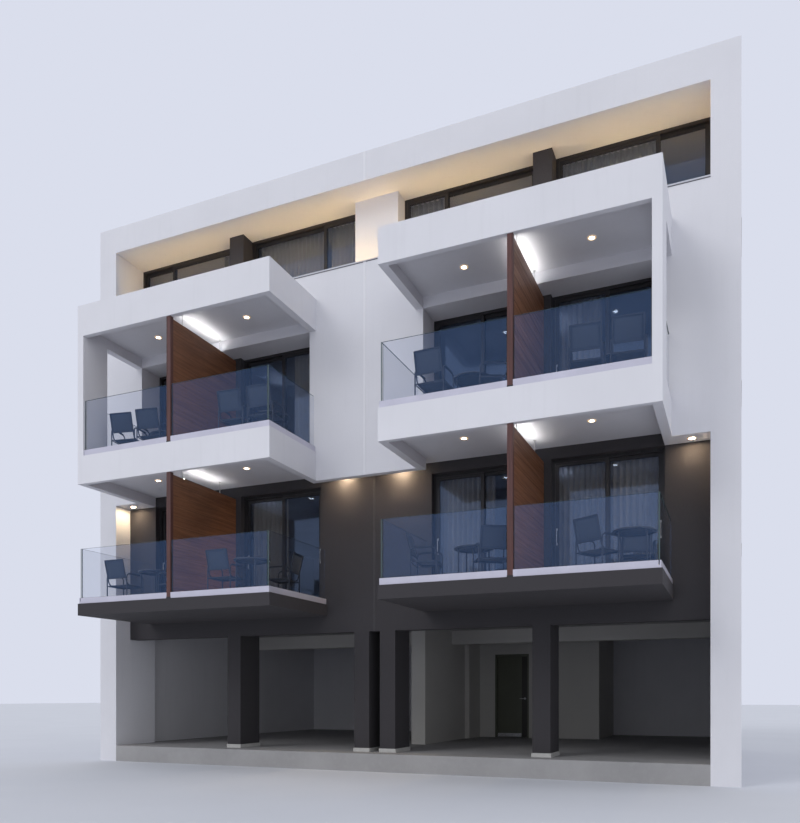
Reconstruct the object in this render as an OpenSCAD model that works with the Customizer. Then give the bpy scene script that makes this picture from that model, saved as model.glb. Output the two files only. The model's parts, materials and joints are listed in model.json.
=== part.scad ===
// Four-storey apartment block: a white frame round a dark inner front, two white
// balcony boxes, two dark lower balconies and an open parking level.
// Millimetres. X runs along the street front, the front looks towards -Y, and
// the origin is the middle of the footprint at the lowest level.

/* [Overall] */
// Width between the outer faces of the side walls
building_w = 13540; // [12800:10:15000]
// Depth from the white front to the rear face
building_d = 9300; // [8600:10:12000]
// Height of the ground slab and of the wall feet beside it
plinth_h = 350; // [200:10:600]

/* [Storeys] */
// Height from one floor to the next
storey_h = 3000; // [2900:10:3300]
// Thickness of the floor slabs
slab_t = 240; // [180:10:300]
// Height of the balcony door openings above their floor
door_h = 2430; // [2250:10:2550]
// Clear height of the top loggia
loggia_h = 2160; // [2050:10:2400]
// Thickness of the roof slab
roof_t = 240; // [180:10:300]
// Height of the parapet above the roof slab
parapet_h = 325; // [150:5:600]

/* [Walls] */
// Thickness of the side and rear walls
wall_t = 220; // [180:10:300]
// Thickness of the inner front walls and of the beams
front_wall_t = 270; // [220:10:350]
// Depth of the white frame in front of the inner front walls
frame_d = 435; // [350:5:600]
// Width of the white end piers
pier_w = 465; // [400:5:650]
// Depth of the end piers at the parking level
end_pier_d = 1240; // [1000:10:1800]

/* [Balconies] */
// How far the balconies stand out from the white front
balcony_d = 1635; // [1400:5:2000]
// Distance from the centre line to each balcony's near side
balcony_gap = 1085; // [900:5:1400]
// Width of each balcony
balcony_w = 4620; // [4300:10:4900]
// Thickness of the balcony boxes' side rims and corner posts
box_wall_t = 150; // [120:5:200]
// Thickness of the front rim under each box ceiling
rim_t = 100; // [80:5:150]
// Depth of the recessed ceilings
recess_h = 210; // [120:10:260]
// Height of the roof fascia of the balcony boxes
box_roof_h = 630; // [450:10:700]
// Depth of the corner posts from front to back
post_d = 635; // [400:5:900]
// Thickness of the lip that hides the lamps at the centre
lip_t = 150; // [100:5:200]

/* [Top loggia] */
// Height of the solid parapet above the loggia floor
sill_h = 580; // [450:10:900]
// Thickness of the solid parapet
sill_t = 200; // [150:10:300]
// Distance of the loggia windows behind the white front
loggia_y = 855; // [800:5:1100]
// Distance of the piers' and pilasters' faces behind the white front
loggia_pier_y = 525; // [450:5:700]
// Depth of the piers behind their faces
loggia_pier_d = 580; // [450:10:800]
// Width of the white centre pier
centre_pier_w = 955; // [800:5:1200]
// Thickness of the metal cap on the parapet
cap_t = 25; // [15:1:40]
// How far the cap stands proud of the parapet
cap_proud = 15; // [5:1:30]

/* [Parking level] */
// Width of the dark columns
column_w = 335; // [250:5:450]
// Depth of the dark columns
column_d = 700; // [500:10:900]
// Clear gap between the two middle columns
column_gap = 240; // [120:10:400]
// Height of the beams below the first floor slab
beam_h = 340; // [250:10:450]
// Height of the pale blocks under the columns
base_h = 75; // [40:5:120]
// How far the pale blocks stand proud of the columns
base_proud = 15; // [5:1:30]
// Distance of the inner beam behind the white front
inner_beam_y = 4750; // [4200:50:5400]

/* [Lobby] */
// Thickness of the centre wall
centre_wall_t = 345; // [200:5:400]
// Distance of the centre wall's middle from the centre line
centre_wall_x = -137; // [-200:1:0]
// Distance of the centre wall's end behind the white front
centre_wall_y = 3000; // [2500:50:3800]
// Thickness of the lobby walls
lobby_wall_t = 200; // [120:10:250]
// Distance of the lobby's door wall behind the white front
lobby_y = 6650; // [6200:50:7200]
// Distance from the centre line to the lobby's far side
lobby_x = 3390; // [3000:10:4200]
// Width of the pier beside the lobby door wall
lobby_pier_w = 120; // [80:10:250]
// Length of the pier beside the lobby door wall
lobby_pier_l = 900; // [600:50:1200]
// Distance from the centre line to the entrance doorway
doorway_x = 590; // [400:10:900]
// Width of the entrance doorway
doorway_w = 940; // [850:10:1100]
// Height of the entrance doorway
doorway_h = 2250; // [2050:10:2350]

/* [Entrance door] */
// Width of the door frame's jambs and head
jamb_w = 45; // [35:1:70]
// Depth of the door frame
jamb_d = 110; // [80:5:160]
// Thickness of the door leaf
leaf_t = 44; // [35:1:60]
// Clear gap on the hinge side and at the top of the leaf
leaf_gap = 5; // [5:0.5:8]
// Clear gap on the lock side and under the leaf
lock_gap = 8; // [7:0.5:12]
// Radius of the hinge knuckles
knuckle_r = 9; // [7:0.5:12]
// Radius of the hinge pins
pin_r = 4; // [3:0.5:5]
// Height of one hinge knuckle
knuckle_h = 50; // [40:1:70]
// Thickness of the hinge plates
plate_t = 3; // [2:0.5:4]
// Height of the lever handles above the floor
handle_z = 1050; // [950:10:1150]
// Length of the lever handles
lever_l = 140; // [100:5:160]
// How far the levers stand out from the leaf
lever_out = 58; // [45:1:70]
// Distance of the levers' spindle from the leaf's lock edge
lever_set = 70; // [50:1:100]
// Width of the leaf's border round its recessed panel
panel_border = 120; // [90:5:160]
// Depth of the recessed panel
panel_depth = 6; // [3:1:10]

/* [Windows] */
// Distance of the balcony windows behind the inner front wall's face
window_set = 125; // [60:5:150]
// Width of the outer frames' profiles
profile_w = 55; // [40:1:80]
// Depth of the outer frames' profiles
profile_d = 110; // [90:5:140]
// Width of the sliding leaves' profiles
leaf_w = 60; // [45:1:90]
// Depth of the sliding leaves' profiles
leaf_d = 38; // [30:1:45]
// Thickness of the double glazing
pane_t = 24; // [16:1:30]
// Width of the narrow leaf at the end of each loggia window
narrow_leaf_w = 900; // [700:10:1100]
// Width of the dark pilasters and strips between the windows
pilaster_w = 360; // [250:10:500]

/* [Rear and side windows] */
// Width of the rear windows
rear_win_w = 2400; // [1600:50:3000]
// Width of the side windows
side_win_w = 1300; // [900:50:1800]
// Height of the rear and side windows
low_win_h = 1400; // [1100:50:1700]
// Height of their sills above the floor
low_win_sill = 900; // [700:50:1000]
// Distance of their frames behind the wall face
low_win_set = 80; // [40:5:100]
// Thickness of the stone sills
stone_t = 30; // [20:5:50]
// How far the rear sills stand out from the wall
stone_proud = 30; // [10:5:50]
// How far the side sills stand out from the wall
side_stone_proud = 10; // [5:5:50]

/* [Railings] */
// Height of the glass above the balcony floor
rail_h = 1120; // [1000:10:1250]
// Thickness of the railing glass
rail_glass_t = 18; // [12:1:25]
// Width of the base channel
channel_w = 60; // [45:1:80]
// Height of the base channel
channel_h = 115; // [80:5:150]
// Depth of the slot that holds the glass
slot_h = 70; // [40:5:75]
// Distance of the channel from the balcony's edge
channel_set = 20; // [5:1:40]
// Gap between neighbouring panes
pane_gap = 15; // [8:1:30]

/* [Dividers] */
// Thickness of the wooden balcony dividers
divider_t = 95; // [60:5:140]
// Depth of each divider's front post
divider_post_d = 80; // [50:5:120]
// Gap between a divider's top and the ceiling rim
divider_gap = 40; // [20:5:80]
// Height of the light strip on each divider
strip_h = 25; // [15:1:40]
// Width of the light strip on each divider
strip_w = 30; // [20:1:50]
// Diameter of the divider's hangers
hanger_dia = 14; // [8:1:25]
// Distance of the front hangers from the balcony's edge
hanger_front = 415; // [200:5:600]
// Distance of the back hangers from the white front
hanger_back = 50; // [20:5:300]
// Distance of the light strips' ends from the hangers
strip_gap = 40; // [10:5:100]

/* [Lamps] */
// Diameter of the round ceiling lamps
lamp_dia = 150; // [100:5:200]
// Thickness of the lamps below the ceiling
lamp_t = 12; // [6:1:25]
// Distance of the balcony lamps from the middle of each balcony
lamp_dx = 1110; // [800:10:1400]
// Distance of the balcony lamps in front of the white front
lamp_y = 650; // [400:10:900]
// Distance of the middle lamps from the centre line
lamp_mid_x = 620; // [400:10:800]

/* [Furniture] */
// Width of a balcony chair
chair_w = 550; // [500:10:640]
// Depth of a chair's seat and side loops
chair_d = 480; // [420:10:560]
// Height of the chair seat
chair_seat_h = 420; // [380:10:460]
// Height of the armrests
chair_arm_h = 640; // [580:10:700]
// Length of the chair back's rails along their slope
chair_back_l = 520; // [420:5:600]
// Open length of the rails under the back panel
chair_back_gap = 140; // [60:5:200]
// Thickness of the chair's frame bars
chair_bar = 28; // [20:1:40]
// Slope of the chair back from upright
chair_lean = 14; // [8:1:20]
// Thickness of the chair's seat and back
chair_sling_t = 16; // [10:1:20]
// Diameter of the small round tables
table_dia = 700; // [500:10:800]
// Height of the small tables
table_h = 710; // [600:10:760]
// Thickness of the table top
table_top_t = 25; // [15:1:35]
// Width of the table's square legs
table_leg = 30; // [20:1:40]

/* [Hidden] */

half_w = building_w / 2;
inner_x = half_w - pier_w;
wall_x = half_w - wall_t;
rear_y = building_d - wall_t;
centre_y = (building_d + stone_proud - balcony_d) / 2;

first_z = plinth_h + storey_h;
second_z = first_z + storey_h;
third_z = second_z + storey_h;
roof_z = third_z + loggia_h;
top_z = roof_z + roof_t + parapet_h;
slab_z = first_z - slab_t;
beam_z = slab_z - beam_h;
first_head_z = first_z + door_h;
second_head_z = second_z + door_h;
upper_floors = [first_z, second_z, third_z];

inner_front_y = frame_d + front_wall_t;
box_x0 = balcony_gap;
box_x1 = balcony_gap + balcony_w;
open_x0 = box_x0 + box_wall_t;
open_x1 = box_x1 - box_wall_t;
divider_x = (box_x0 + box_x1) / 2;
window_spans = [
    [open_x0, divider_x - pilaster_w / 2],
    [divider_x + pilaster_w / 2, open_x1]
];
loggia_spans = [
    [centre_pier_w / 2, divider_x - pilaster_w / 2],
    [divider_x + pilaster_w / 2, inner_x]
];
centre_wall_right = centre_wall_x + centre_wall_t / 2;
side_window_y = [frame_d + (rear_y - frame_d) / 4, frame_d + (rear_y - frame_d) * 3 / 4];
hanger_spots = [-balcony_d + hanger_front, -hanger_back];

// Depth of the front and back tracks of a sliding window
front_track_y = 12;
back_track_y = profile_d - leaf_d - front_track_y;
// How far a leaf reaches into the frame that holds it
rebate = 6;

// Clearances of the hinges
pin_clear = 0.1;
knuckle_gap = 0.4;
hinge_x = doorway_x + jamb_w + leaf_gap / 2;
frame_back_y = lobby_y + jamb_d;
hinge_y = frame_back_y + knuckle_r;
hinge_inset = 220;
leaf_plate_l = 36;
frame_plate_l = jamb_w - 8;
hinge_heights = [hinge_inset, doorway_h / 2, doorway_h - hinge_inset - 2 * knuckle_h];
door_leaf_w = doorway_w - 2 * jamb_w - leaf_gap - lock_gap;
door_leaf_h = doorway_h - jamb_w - leaf_gap - lock_gap;

// Chairs: side, distance outward from the divider, distance behind the balcony's
// front edge, and turn (at 0 a chair looks at the street)
first_floor_chairs = [
    [-1, 1655, 615, 180], [-1, 555, 885, 270], [-1, -975, 515, 180], [-1, -1840, 1185, 280],
    [1, -1615, 485, 100], [1, -475, 555, 210], [1, 1290, 550, 150], [1, 1805, 1305, 10]
];
second_floor_chairs = [
    [-1, 1585, 665, 190], [-1, 935, 685, 190], [-1, -1195, 555, 185], [-1, -1845, 575, 185],
    [1, -1450, 440, 178], [1, -485, 685, 290], [1, 1105, 585, 185], [1, 1760, 560, 185]
];
// Tables: side, distance outward from the divider, distance behind the front edge
first_floor_tables = [[-1, 1105, 915], [-1, -1575, 515], [1, -945, 1035], [1, 1825, 685]];
second_floor_tables = [[-1, 1225, 1355], [-1, -1505, 1285], [1, -1005, 1135], [1, 1435, 1355]];

module placed() {
    translate([0, -centre_y, 0]) children();
}

module block(x, y, z) {
    translate([x[0], y[0], z[0]]) cube([x[1] - x[0], y[1] - y[0], z[1] - z[0]]);
}

module both_sides() {
    children();
    mirror([1, 0, 0]) children();
}

// Ground slab between the wall feet
module ground_slab() {
    color("darkgray") placed() difference() {
        block([-wall_x, wall_x], [0, rear_y], [0, plinth_h]);
        both_sides() block([inner_x, half_w], [-1, end_pier_d], [-1, plinth_h + 1]);
    }
}

// Deep feet of the white frame beside the parking bays
module end_piers() {
    color("whitesmoke") placed() both_sides()
        block([inner_x, wall_x], [frame_d, end_pier_d], [0, slab_z]);
}

// White frame with its band, the box openings and the loggia parapet
module white_front_frame() {
    color("whitesmoke") placed() difference() {
        block([-half_w, half_w], [0, frame_d], [0, top_z]);
        block([-inner_x, inner_x], [-1, frame_d + 1], [-1, first_head_z]);
        both_sides() block([open_x0, open_x1], [-1, frame_d + 1], [second_z, second_head_z]);
        block([-inner_x, inner_x], [-1, frame_d + 1], [third_z + sill_h, roof_z]);
        block([-inner_x, inner_x], [sill_t, frame_d + 1], [third_z, roof_z]);
        block([-open_x1, open_x1], [lip_t, frame_d + 1], [first_head_z - 1, first_head_z + recess_h]);
        both_sides()
            block([open_x0, open_x1], [-1, frame_d + 1], [first_head_z - 1, first_head_z + recess_h]);
    }
}

// Side wall with two windows in each upper storey
module side_wall() {
    difference() {
        block([wall_x, half_w], [frame_d, building_d], [0, top_z]);
        for (y = side_window_y)
            for (z = upper_floors)
                block([wall_x - 1, half_w + 1], [y - side_win_w / 2, y + side_win_w / 2],
                    [z + low_win_sill, z + low_win_sill + low_win_h]);
    }
}

module left_side_wall() {
    color("gainsboro") placed() mirror([1, 0, 0]) side_wall();
}

module right_side_wall() {
    color("gainsboro") placed() side_wall();
}

// Rear wall with two wide windows in each upper storey
module rear_wall() {
    color("gainsboro") placed() difference() {
        block([-wall_x, wall_x], [rear_y, building_d], [0, top_z]);
        for (z = upper_floors)
            both_sides() block([divider_x - rear_win_w / 2, divider_x + rear_win_w / 2],
                [rear_y - 1, building_d + 1], [z + low_win_sill, z + low_win_sill + low_win_h]);
    }
}

module floor_slab(z) {
    block([-wall_x, wall_x], [inner_front_y, rear_y], [z - slab_t, z]);
}

module first_floor_slab() {
    color("silver") placed() floor_slab(first_z);
}

module second_floor_slab() {
    color("silver") placed() floor_slab(second_z);
}

module third_floor_slab() {
    color("silver") placed() floor_slab(third_z);
}

module roof_slab() {
    color("silver") placed() block([-wall_x, wall_x], [frame_d, rear_y], [roof_z, roof_z + roof_t]);
}

// Dark wall behind the lower balconies
module first_floor_front_wall() {
    color("#4a474a") placed() difference() {
        block([-wall_x, wall_x], [frame_d, inner_front_y], [slab_z, second_z - slab_t]);
        both_sides() for (span = window_spans)
            block(span, [frame_d - 1, inner_front_y + 1], [first_z, first_head_z]);
    }
}

// White wall round the windows of the balcony boxes
module second_floor_front_wall() {
    color("whitesmoke") placed() difference() {
        block([-wall_x, wall_x], [frame_d, inner_front_y], [second_z - slab_t, third_z]);
        both_sides()
            block([open_x0, open_x1], [frame_d - 1, inner_front_y + 1], [second_z, second_head_z]);
    }
}

// Dark pilasters between the windows of the balcony boxes and of the loggia
module dark_pilasters() {
    x = [divider_x - pilaster_w / 2, divider_x + pilaster_w / 2];
    color("#403d41") placed() both_sides() {
        block(x, [frame_d, inner_front_y], [second_z, second_head_z]);
        block(x, [loggia_pier_y, loggia_pier_y + loggia_pier_d], [third_z, roof_z]);
    }
}

// Centre pier and the two cheeks beside the loggia windows
module loggia_piers() {
    color("whitesmoke") placed() {
        block([-centre_pier_w / 2, centre_pier_w / 2],
            [loggia_pier_y, loggia_pier_y + loggia_pier_d], [third_z, roof_z]);
        both_sides() block([inner_x, wall_x], [frame_d, loggia_pier_y + loggia_pier_d],
            [third_z, roof_z]);
    }
}

module parapet_cap() {
    color("#8a8c90") placed() block([-inner_x, inner_x], [-cap_proud, sill_t + cap_proud],
        [third_z + sill_h, third_z + sill_h + cap_t]);
}

module front_beam() {
    color("#4a474a") placed() block([-inner_x, inner_x], [frame_d, inner_front_y], [beam_z, slab_z]);
}

module inner_beams() {
    color("#77746f") placed() {
        block([-wall_x, centre_wall_x - centre_wall_t / 2],
            [inner_beam_y, inner_beam_y + front_wall_t], [beam_z, slab_z]);
        block([centre_wall_right, wall_x],
            [inner_beam_y, inner_beam_y + front_wall_t], [beam_z, slab_z]);
    }
}

// One column: its front carries the beam and its back the slab
module column(x) {
    z0 = plinth_h + base_h;
    block([x - column_w / 2, x + column_w / 2], [frame_d, inner_front_y + 1], [z0, beam_z]);
    block([x - column_w / 2, x + column_w / 2], [inner_front_y, frame_d + column_d], [z0, slab_z]);
}

module column_pair() {
    both_sides() {
        translate([column_gap / 2 + column_w / 2, 0, 0]) children();
        translate([divider_x, 0, 0]) children();
    }
}

module columns() {
    color("#4a474a") placed() column_pair() column(0);
}

module column_bases() {
    reach = column_w / 2 + base_proud;
    color("#b9b8b5") placed() column_pair()
        block([-reach, reach], [frame_d - base_proud, frame_d + column_d + base_proud],
            [plinth_h, plinth_h + base_h]);
}

// Wall on the centre line with the pier that ends the lobby's door wall
module centre_wall() {
    color("#b5b3ae") placed() {
        block([centre_wall_right - centre_wall_t, centre_wall_right], [centre_wall_y, rear_y],
            [plinth_h, slab_z]);
        block([centre_wall_right - 1, centre_wall_right + lobby_pier_w],
            [lobby_y - lobby_pier_l, lobby_y + lobby_wall_t], [plinth_h, slab_z]);
    }
}

// The lobby's door wall on both sides of the doorway
module lobby_door_wall() {
    color("#b5b3ae") placed() {
        block([centre_wall_right + lobby_pier_w, doorway_x], [lobby_y, lobby_y + lobby_wall_t],
            [plinth_h, slab_z]);
        block([doorway_x + doorway_w, lobby_x], [lobby_y, lobby_y + lobby_wall_t],
            [plinth_h, slab_z]);
    }
}

module lobby_lintel() {
    color("#b5b3ae") placed() block([doorway_x, doorway_x + doorway_w],
        [lobby_y, lobby_y + lobby_wall_t], [plinth_h + doorway_h, slab_z]);
}

module lobby_side_wall() {
    color("#b5b3ae") placed() block([lobby_x - lobby_wall_t, lobby_x],
        [lobby_y + lobby_wall_t, rear_y], [plinth_h, slab_z]);
}

// One half of a hinge: a knuckle and the plate that carries it
module hinge_half(z, side) {
    plate_l = side < 0 ? frame_plate_l : leaf_plate_l;
    translate([hinge_x, hinge_y, z]) {
        cylinder(h = knuckle_h, r = knuckle_r, $fn = 32);
        translate([side < 0 ? -plate_l : 0, -knuckle_r, 0]) cube([plate_l, plate_t, knuckle_h]);
    }
}

// Frame of the entrance door with the lower knuckles and pins of its hinges
module entrance_frame() {
    color("#55584a") placed() {
        difference() {
            block([doorway_x, doorway_x + doorway_w], [lobby_y, frame_back_y],
                [plinth_h, plinth_h + doorway_h]);
            block([doorway_x + jamb_w, doorway_x + doorway_w - jamb_w], [lobby_y - 1, frame_back_y + 1],
                [plinth_h - 1, plinth_h + doorway_h - jamb_w]);
        }
        for (z = hinge_heights) {
            hinge_half(plinth_h + z, -1);
            translate([hinge_x, hinge_y, plinth_h + z])
                cylinder(h = 2 * knuckle_h, r = pin_r, $fn = 32);
        }
    }
}

// Door leaf with a recessed panel and the upper knuckles of its hinges
module entrance_door() {
    x0 = doorway_x + jamb_w + leaf_gap;
    z0 = plinth_h + lock_gap;
    color("#4d5142") placed() {
        difference() {
            block([x0, x0 + door_leaf_w], [frame_back_y - leaf_t, frame_back_y],
                [z0, z0 + door_leaf_h]);
            block([x0 + panel_border, x0 + door_leaf_w - panel_border],
                [frame_back_y - leaf_t - 1, frame_back_y - leaf_t + panel_depth],
                [z0 + panel_border, z0 + door_leaf_h - panel_border]);
        }
        for (z = hinge_heights)
            difference() {
                hinge_half(plinth_h + z + knuckle_h + knuckle_gap, 1);
                translate([hinge_x, hinge_y, plinth_h + z])
                    cylinder(h = 3 * knuckle_h, r = pin_r + pin_clear, $fn = 32);
            }
    }
}

// Lever handles on both faces of the door leaf
module door_handles() {
    x = doorway_x + doorway_w - jamb_w - lock_gap - lever_set;
    lever_r = 10;
    rose_t = 8;
    rose_r = 26;
    z = plinth_h + handle_z;
    faces = [frame_back_y - leaf_t, frame_back_y];
    color("silver") placed() for (i = [0, 1]) {
        out = i == 0 ? -1 : 1;
        translate([x, faces[i], z]) rotate([-90 * out, 0, 0]) {
            cylinder(h = rose_t, r = rose_r, $fn = 40);
            cylinder(h = lever_out, r = lever_r, $fn = 32);
        }
        translate([x + lever_r, faces[i] + out * (lever_out - rose_t), z]) rotate([0, -90, 0])
            cylinder(h = lever_l, r = lever_r, $fn = 32);
    }
}

// One balcony box: floor tray, roof, ceiling recesses and corner post
module balcony_box() {
    front = -balcony_d;
    difference() {
        union() {
            block([box_x0, box_x1], [front, 0], [first_head_z, second_z]);
            block([box_x0, box_x1], [front, 0], [second_head_z, second_head_z + box_roof_h]);
            block([open_x1, box_x1], [front, front + post_d], [second_z - 1, second_head_z + 1]);
        }
        for (z = [first_head_z, second_head_z])
            block([open_x0, open_x1], [front + rim_t, 1], [z - 1, z + recess_h]);
    }
}

module left_balcony_box() {
    color("white") placed() mirror([1, 0, 0]) balcony_box();
}

module right_balcony_box() {
    color("white") placed() balcony_box();
}

module lower_balcony_slabs() {
    color("#3f3d42") placed() both_sides()
        block([box_x0, box_x1], [-balcony_d, frame_d], [slab_z, first_z]);
}

// Floor level and head level of each balcony storey
module each_balcony() {
    both_sides() for (z = [first_z, second_z]) translate([divider_x, 0, z]) children();
}

module balcony_dividers() {
    color("#6b3f2a") placed() each_balcony()
        block([-divider_t / 2, divider_t / 2],
            [-balcony_d + channel_set + divider_post_d, frame_d], [0, door_h - divider_gap]);
}

module divider_posts() {
    y0 = -balcony_d + channel_set;
    color("#7a4434") placed() each_balcony()
        block([-divider_t / 2, divider_t / 2], [y0, y0 + divider_post_d], [0, door_h]);
}

module divider_hangers() {
    color("#2c2a2b") placed() each_balcony() for (y = hanger_spots)
        translate([0, y, door_h - divider_gap])
            cylinder(h = divider_gap + recess_h, d = hanger_dia, $fn = 24);
}

module light_strips() {
    color("white") placed() each_balcony()
        block([-strip_w / 2, strip_w / 2], [hanger_spots[0] + strip_gap, hanger_spots[1] - strip_gap],
            [door_h - divider_gap, door_h - divider_gap + strip_h]);
}

// Slots along the front and along both sides
module rail_slots(x0, x1, back_y, side_y, z) {
    mid = channel_set + channel_w / 2;
    t = rail_glass_t / 2;
    block([x0, x1], [-balcony_d + mid - t, -balcony_d + mid + t], z);
    block([box_x0 + mid - t, box_x0 + mid + t], [-balcony_d + mid - t, back_y], z);
    block([box_x1 - mid - t, box_x1 - mid + t], [side_y, back_y], z);
}

module balcony_channels(post, back_y) {
    front = -balcony_d + channel_set;
    near_x = box_x0 + channel_set;
    far_x = box_x1 - channel_set;
    end_x = post ? open_x1 : far_x;
    side_y = post ? -balcony_d + post_d : front;
    z = [0, channel_h];
    difference() {
        union() {
            block([near_x, divider_x - divider_t / 2], [front, front + channel_w], z);
            block([divider_x + divider_t / 2, end_x], [front, front + channel_w], z);
            block([near_x, near_x + channel_w], [front, back_y], z);
            block([far_x - channel_w, far_x], [side_y, back_y], z);
        }
        rail_slots(box_x0 + channel_set + channel_w / 2, end_x + 1, back_y + 1, side_y - 1,
            [channel_h - slot_h, channel_h + 1]);
    }
}

module rail_channels() {
    color("#c9c8d6") placed() both_sides() {
        translate([0, 0, first_z]) balcony_channels(false, frame_d);
        translate([0, 0, second_z]) balcony_channels(true, 0);
    }
}

module balcony_panes(post, back_y) {
    mid = channel_set + channel_w / 2;
    t = rail_glass_t / 2;
    front = [-balcony_d + mid - t, -balcony_d + mid + t];
    z = [channel_h - slot_h, rail_h];
    end_x = post ? open_x1 - pane_gap : box_x1 - mid - t - pane_gap;
    side_y = post ? -balcony_d + post_d + pane_gap : front[0];
    block([box_x0 + mid + t + pane_gap, divider_x - divider_t / 2 - pane_gap], front, z);
    block([divider_x + divider_t / 2 + pane_gap, end_x], front, z);
    block([box_x0 + mid - t, box_x0 + mid + t], [front[0], back_y - pane_gap], z);
    block([box_x1 - mid - t, box_x1 - mid + t], [side_y, back_y - pane_gap], z);
}

module rail_glass() {
    color("lightblue", 0.4) placed() both_sides() {
        translate([0, 0, first_z]) balcony_panes(false, frame_d);
        translate([0, 0, second_z]) balcony_panes(true, 0);
    }
}

// A frame of w by h with its lower left corner at the origin
module ring(w, h, profile, depth) {
    difference() {
        cube([w, depth, h]);
        translate([profile, -1, profile]) cube([w - 2 * profile, depth + 2, h - 2 * profile]);
    }
}

// Sliding window: split is the place of the meeting stiles from the left
module sliding_window(w, h, split) {
    ring(w, h, profile_w, profile_d);
    x0 = profile_w - rebate;
    leaf_h = h - 2 * x0;
    translate([x0, front_track_y, x0]) ring(split + leaf_w / 2 - x0, leaf_h, leaf_w, leaf_d);
    translate([split - leaf_w / 2, back_track_y, x0])
        ring(w - x0 - split + leaf_w / 2, leaf_h, leaf_w, leaf_d);
}

// The two panes of a sliding window
module sliding_panes(w, h, split) {
    x0 = profile_w - rebate + leaf_w;
    pane_h = h - 2 * x0;
    inset = (leaf_d - pane_t) / 2;
    translate([x0, front_track_y + inset, x0]) cube([split - leaf_w / 2 - x0, pane_t, pane_h]);
    translate([split + leaf_w / 2, back_track_y + inset, x0])
        cube([w - x0 - split - leaf_w / 2, pane_t, pane_h]);
}

module balcony_windows(z) {
    both_sides() for (span = window_spans)
        translate([span[0], frame_d + window_set, z])
            sliding_window(span[1] - span[0], door_h, (span[1] - span[0]) / 2);
}

module first_floor_windows() {
    color("#2f2d30") placed() balcony_windows(first_z);
}

module second_floor_windows() {
    color("#2f2d30") placed() balcony_windows(second_z);
}

// Place of the meeting stiles in each loggia window
function loggia_split(i) = i == 0 ? narrow_leaf_w
    : loggia_spans[1][1] - loggia_spans[1][0] - narrow_leaf_w;

module loggia_windows() {
    color("#2f2d30") placed() both_sides() for (i = [0, 1])
        translate([loggia_spans[i][0], loggia_y, third_z])
            sliding_window(loggia_spans[i][1] - loggia_spans[i][0], loggia_h, loggia_split(i));
}

// Panes of both balcony storeys and of the loggia
module front_glass() {
    color("lightsteelblue", 0.5) placed() both_sides() {
        for (z = [first_z, second_z]) for (span = window_spans)
            translate([span[0], frame_d + window_set, z])
                sliding_panes(span[1] - span[0], door_h, (span[1] - span[0]) / 2);
        for (i = [0, 1])
            translate([loggia_spans[i][0], loggia_y, third_z])
                sliding_panes(loggia_spans[i][1] - loggia_spans[i][0], loggia_h, loggia_split(i));
    }
}

// Places of the rear windows, looking at the rear wall's outer face
module each_rear_window() {
    both_sides() for (z = upper_floors)
        translate([divider_x + rear_win_w / 2, building_d - low_win_set, z + low_win_sill])
            rotate([0, 0, 180]) children();
}

module each_side_window() {
    both_sides() for (y = side_window_y) for (z = upper_floors)
        translate([half_w - low_win_set, y - side_win_w / 2, z + low_win_sill])
            rotate([0, 0, 90]) children();
}

module rear_windows() {
    color("#2f2d30") placed() each_rear_window()
        sliding_window(rear_win_w, low_win_h, rear_win_w / 2);
}

module side_windows() {
    color("#2f2d30") placed() each_side_window()
        sliding_window(side_win_w, low_win_h, side_win_w / 2);
}

module rear_and_side_glass() {
    color("lightsteelblue", 0.5) placed() {
        each_rear_window() sliding_panes(rear_win_w, low_win_h, rear_win_w / 2);
        each_side_window() sliding_panes(side_win_w, low_win_h, side_win_w / 2);
    }
}

// Stone sill in front of a window frame
module stone_sill(w, proud) {
    translate([0, -low_win_set - proud, 0]) cube([w, low_win_set + proud, stone_t]);
}

module stone_sills() {
    color("#cfccc4") placed() {
        each_rear_window() stone_sill(rear_win_w, stone_proud);
        each_side_window() stone_sill(side_win_w, side_stone_proud);
    }
}

module lamp() {
    translate([0, 0, -lamp_t]) cylinder(h = lamp_t, d = lamp_dia, $fn = 48);
}

module ceiling_lamps() {
    color("lightyellow") placed() both_sides() {
        for (z = [first_head_z, second_head_z]) for (side = [-1, 1])
            translate([divider_x + side * lamp_dx, -lamp_y, z + recess_h]) lamp();
        translate([lamp_mid_x, (lip_t + frame_d) / 2, first_head_z + recess_h]) lamp();
        translate([(box_x1 + inner_x) / 2, frame_d / 2, first_head_z]) lamp();
    }
}

// Garden chair: two side loops, a seat and a panel between two sloping rails
module chair() {
    side_x = chair_w / 2 - chair_bar;
    both_sides() translate([side_x, -chair_d / 2, 0]) {
        cube([chair_bar, chair_bar, chair_arm_h]);
        translate([0, chair_d - chair_bar, 0]) cube([chair_bar, chair_bar, chair_arm_h]);
        translate([0, 0, chair_arm_h - chair_bar]) cube([chair_bar, chair_d, chair_bar]);
        translate([0, 0, chair_seat_h - chair_bar]) cube([chair_bar, chair_d, chair_bar]);
    }
    translate([-side_x - 1, -chair_d / 2, chair_seat_h - chair_bar])
        cube([2 * side_x + 2, chair_d - chair_bar, chair_sling_t]);
    translate([0, chair_d / 2 - 2 * chair_bar, chair_seat_h - chair_bar]) rotate([-chair_lean, 0, 0]) {
        both_sides() translate([side_x - chair_bar, 0, 0])
            cube([chair_bar + 1, chair_sling_t, chair_back_l]);
        translate([-side_x, 0, chair_back_gap])
            cube([2 * side_x, chair_sling_t, chair_back_l - chair_back_gap]);
    }
}

// Round table on four straight legs
module table() {
    reach = table_dia / 2 - 2 * table_leg;
    under = table_h - table_top_t;
    translate([0, 0, under]) cylinder(h = table_top_t, d = table_dia, $fn = 48);
    for (turn = [45:90:315])
        rotate([0, 0, turn]) translate([reach, -table_leg / 2, 0]) cube([table_leg, table_leg, under + 1]);
}

module chairs(places, z) {
    for (p = places)
        translate([p[0] * (divider_x + p[1]), -balcony_d + p[2], z]) rotate([0, 0, p[3]]) chair();
}

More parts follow.
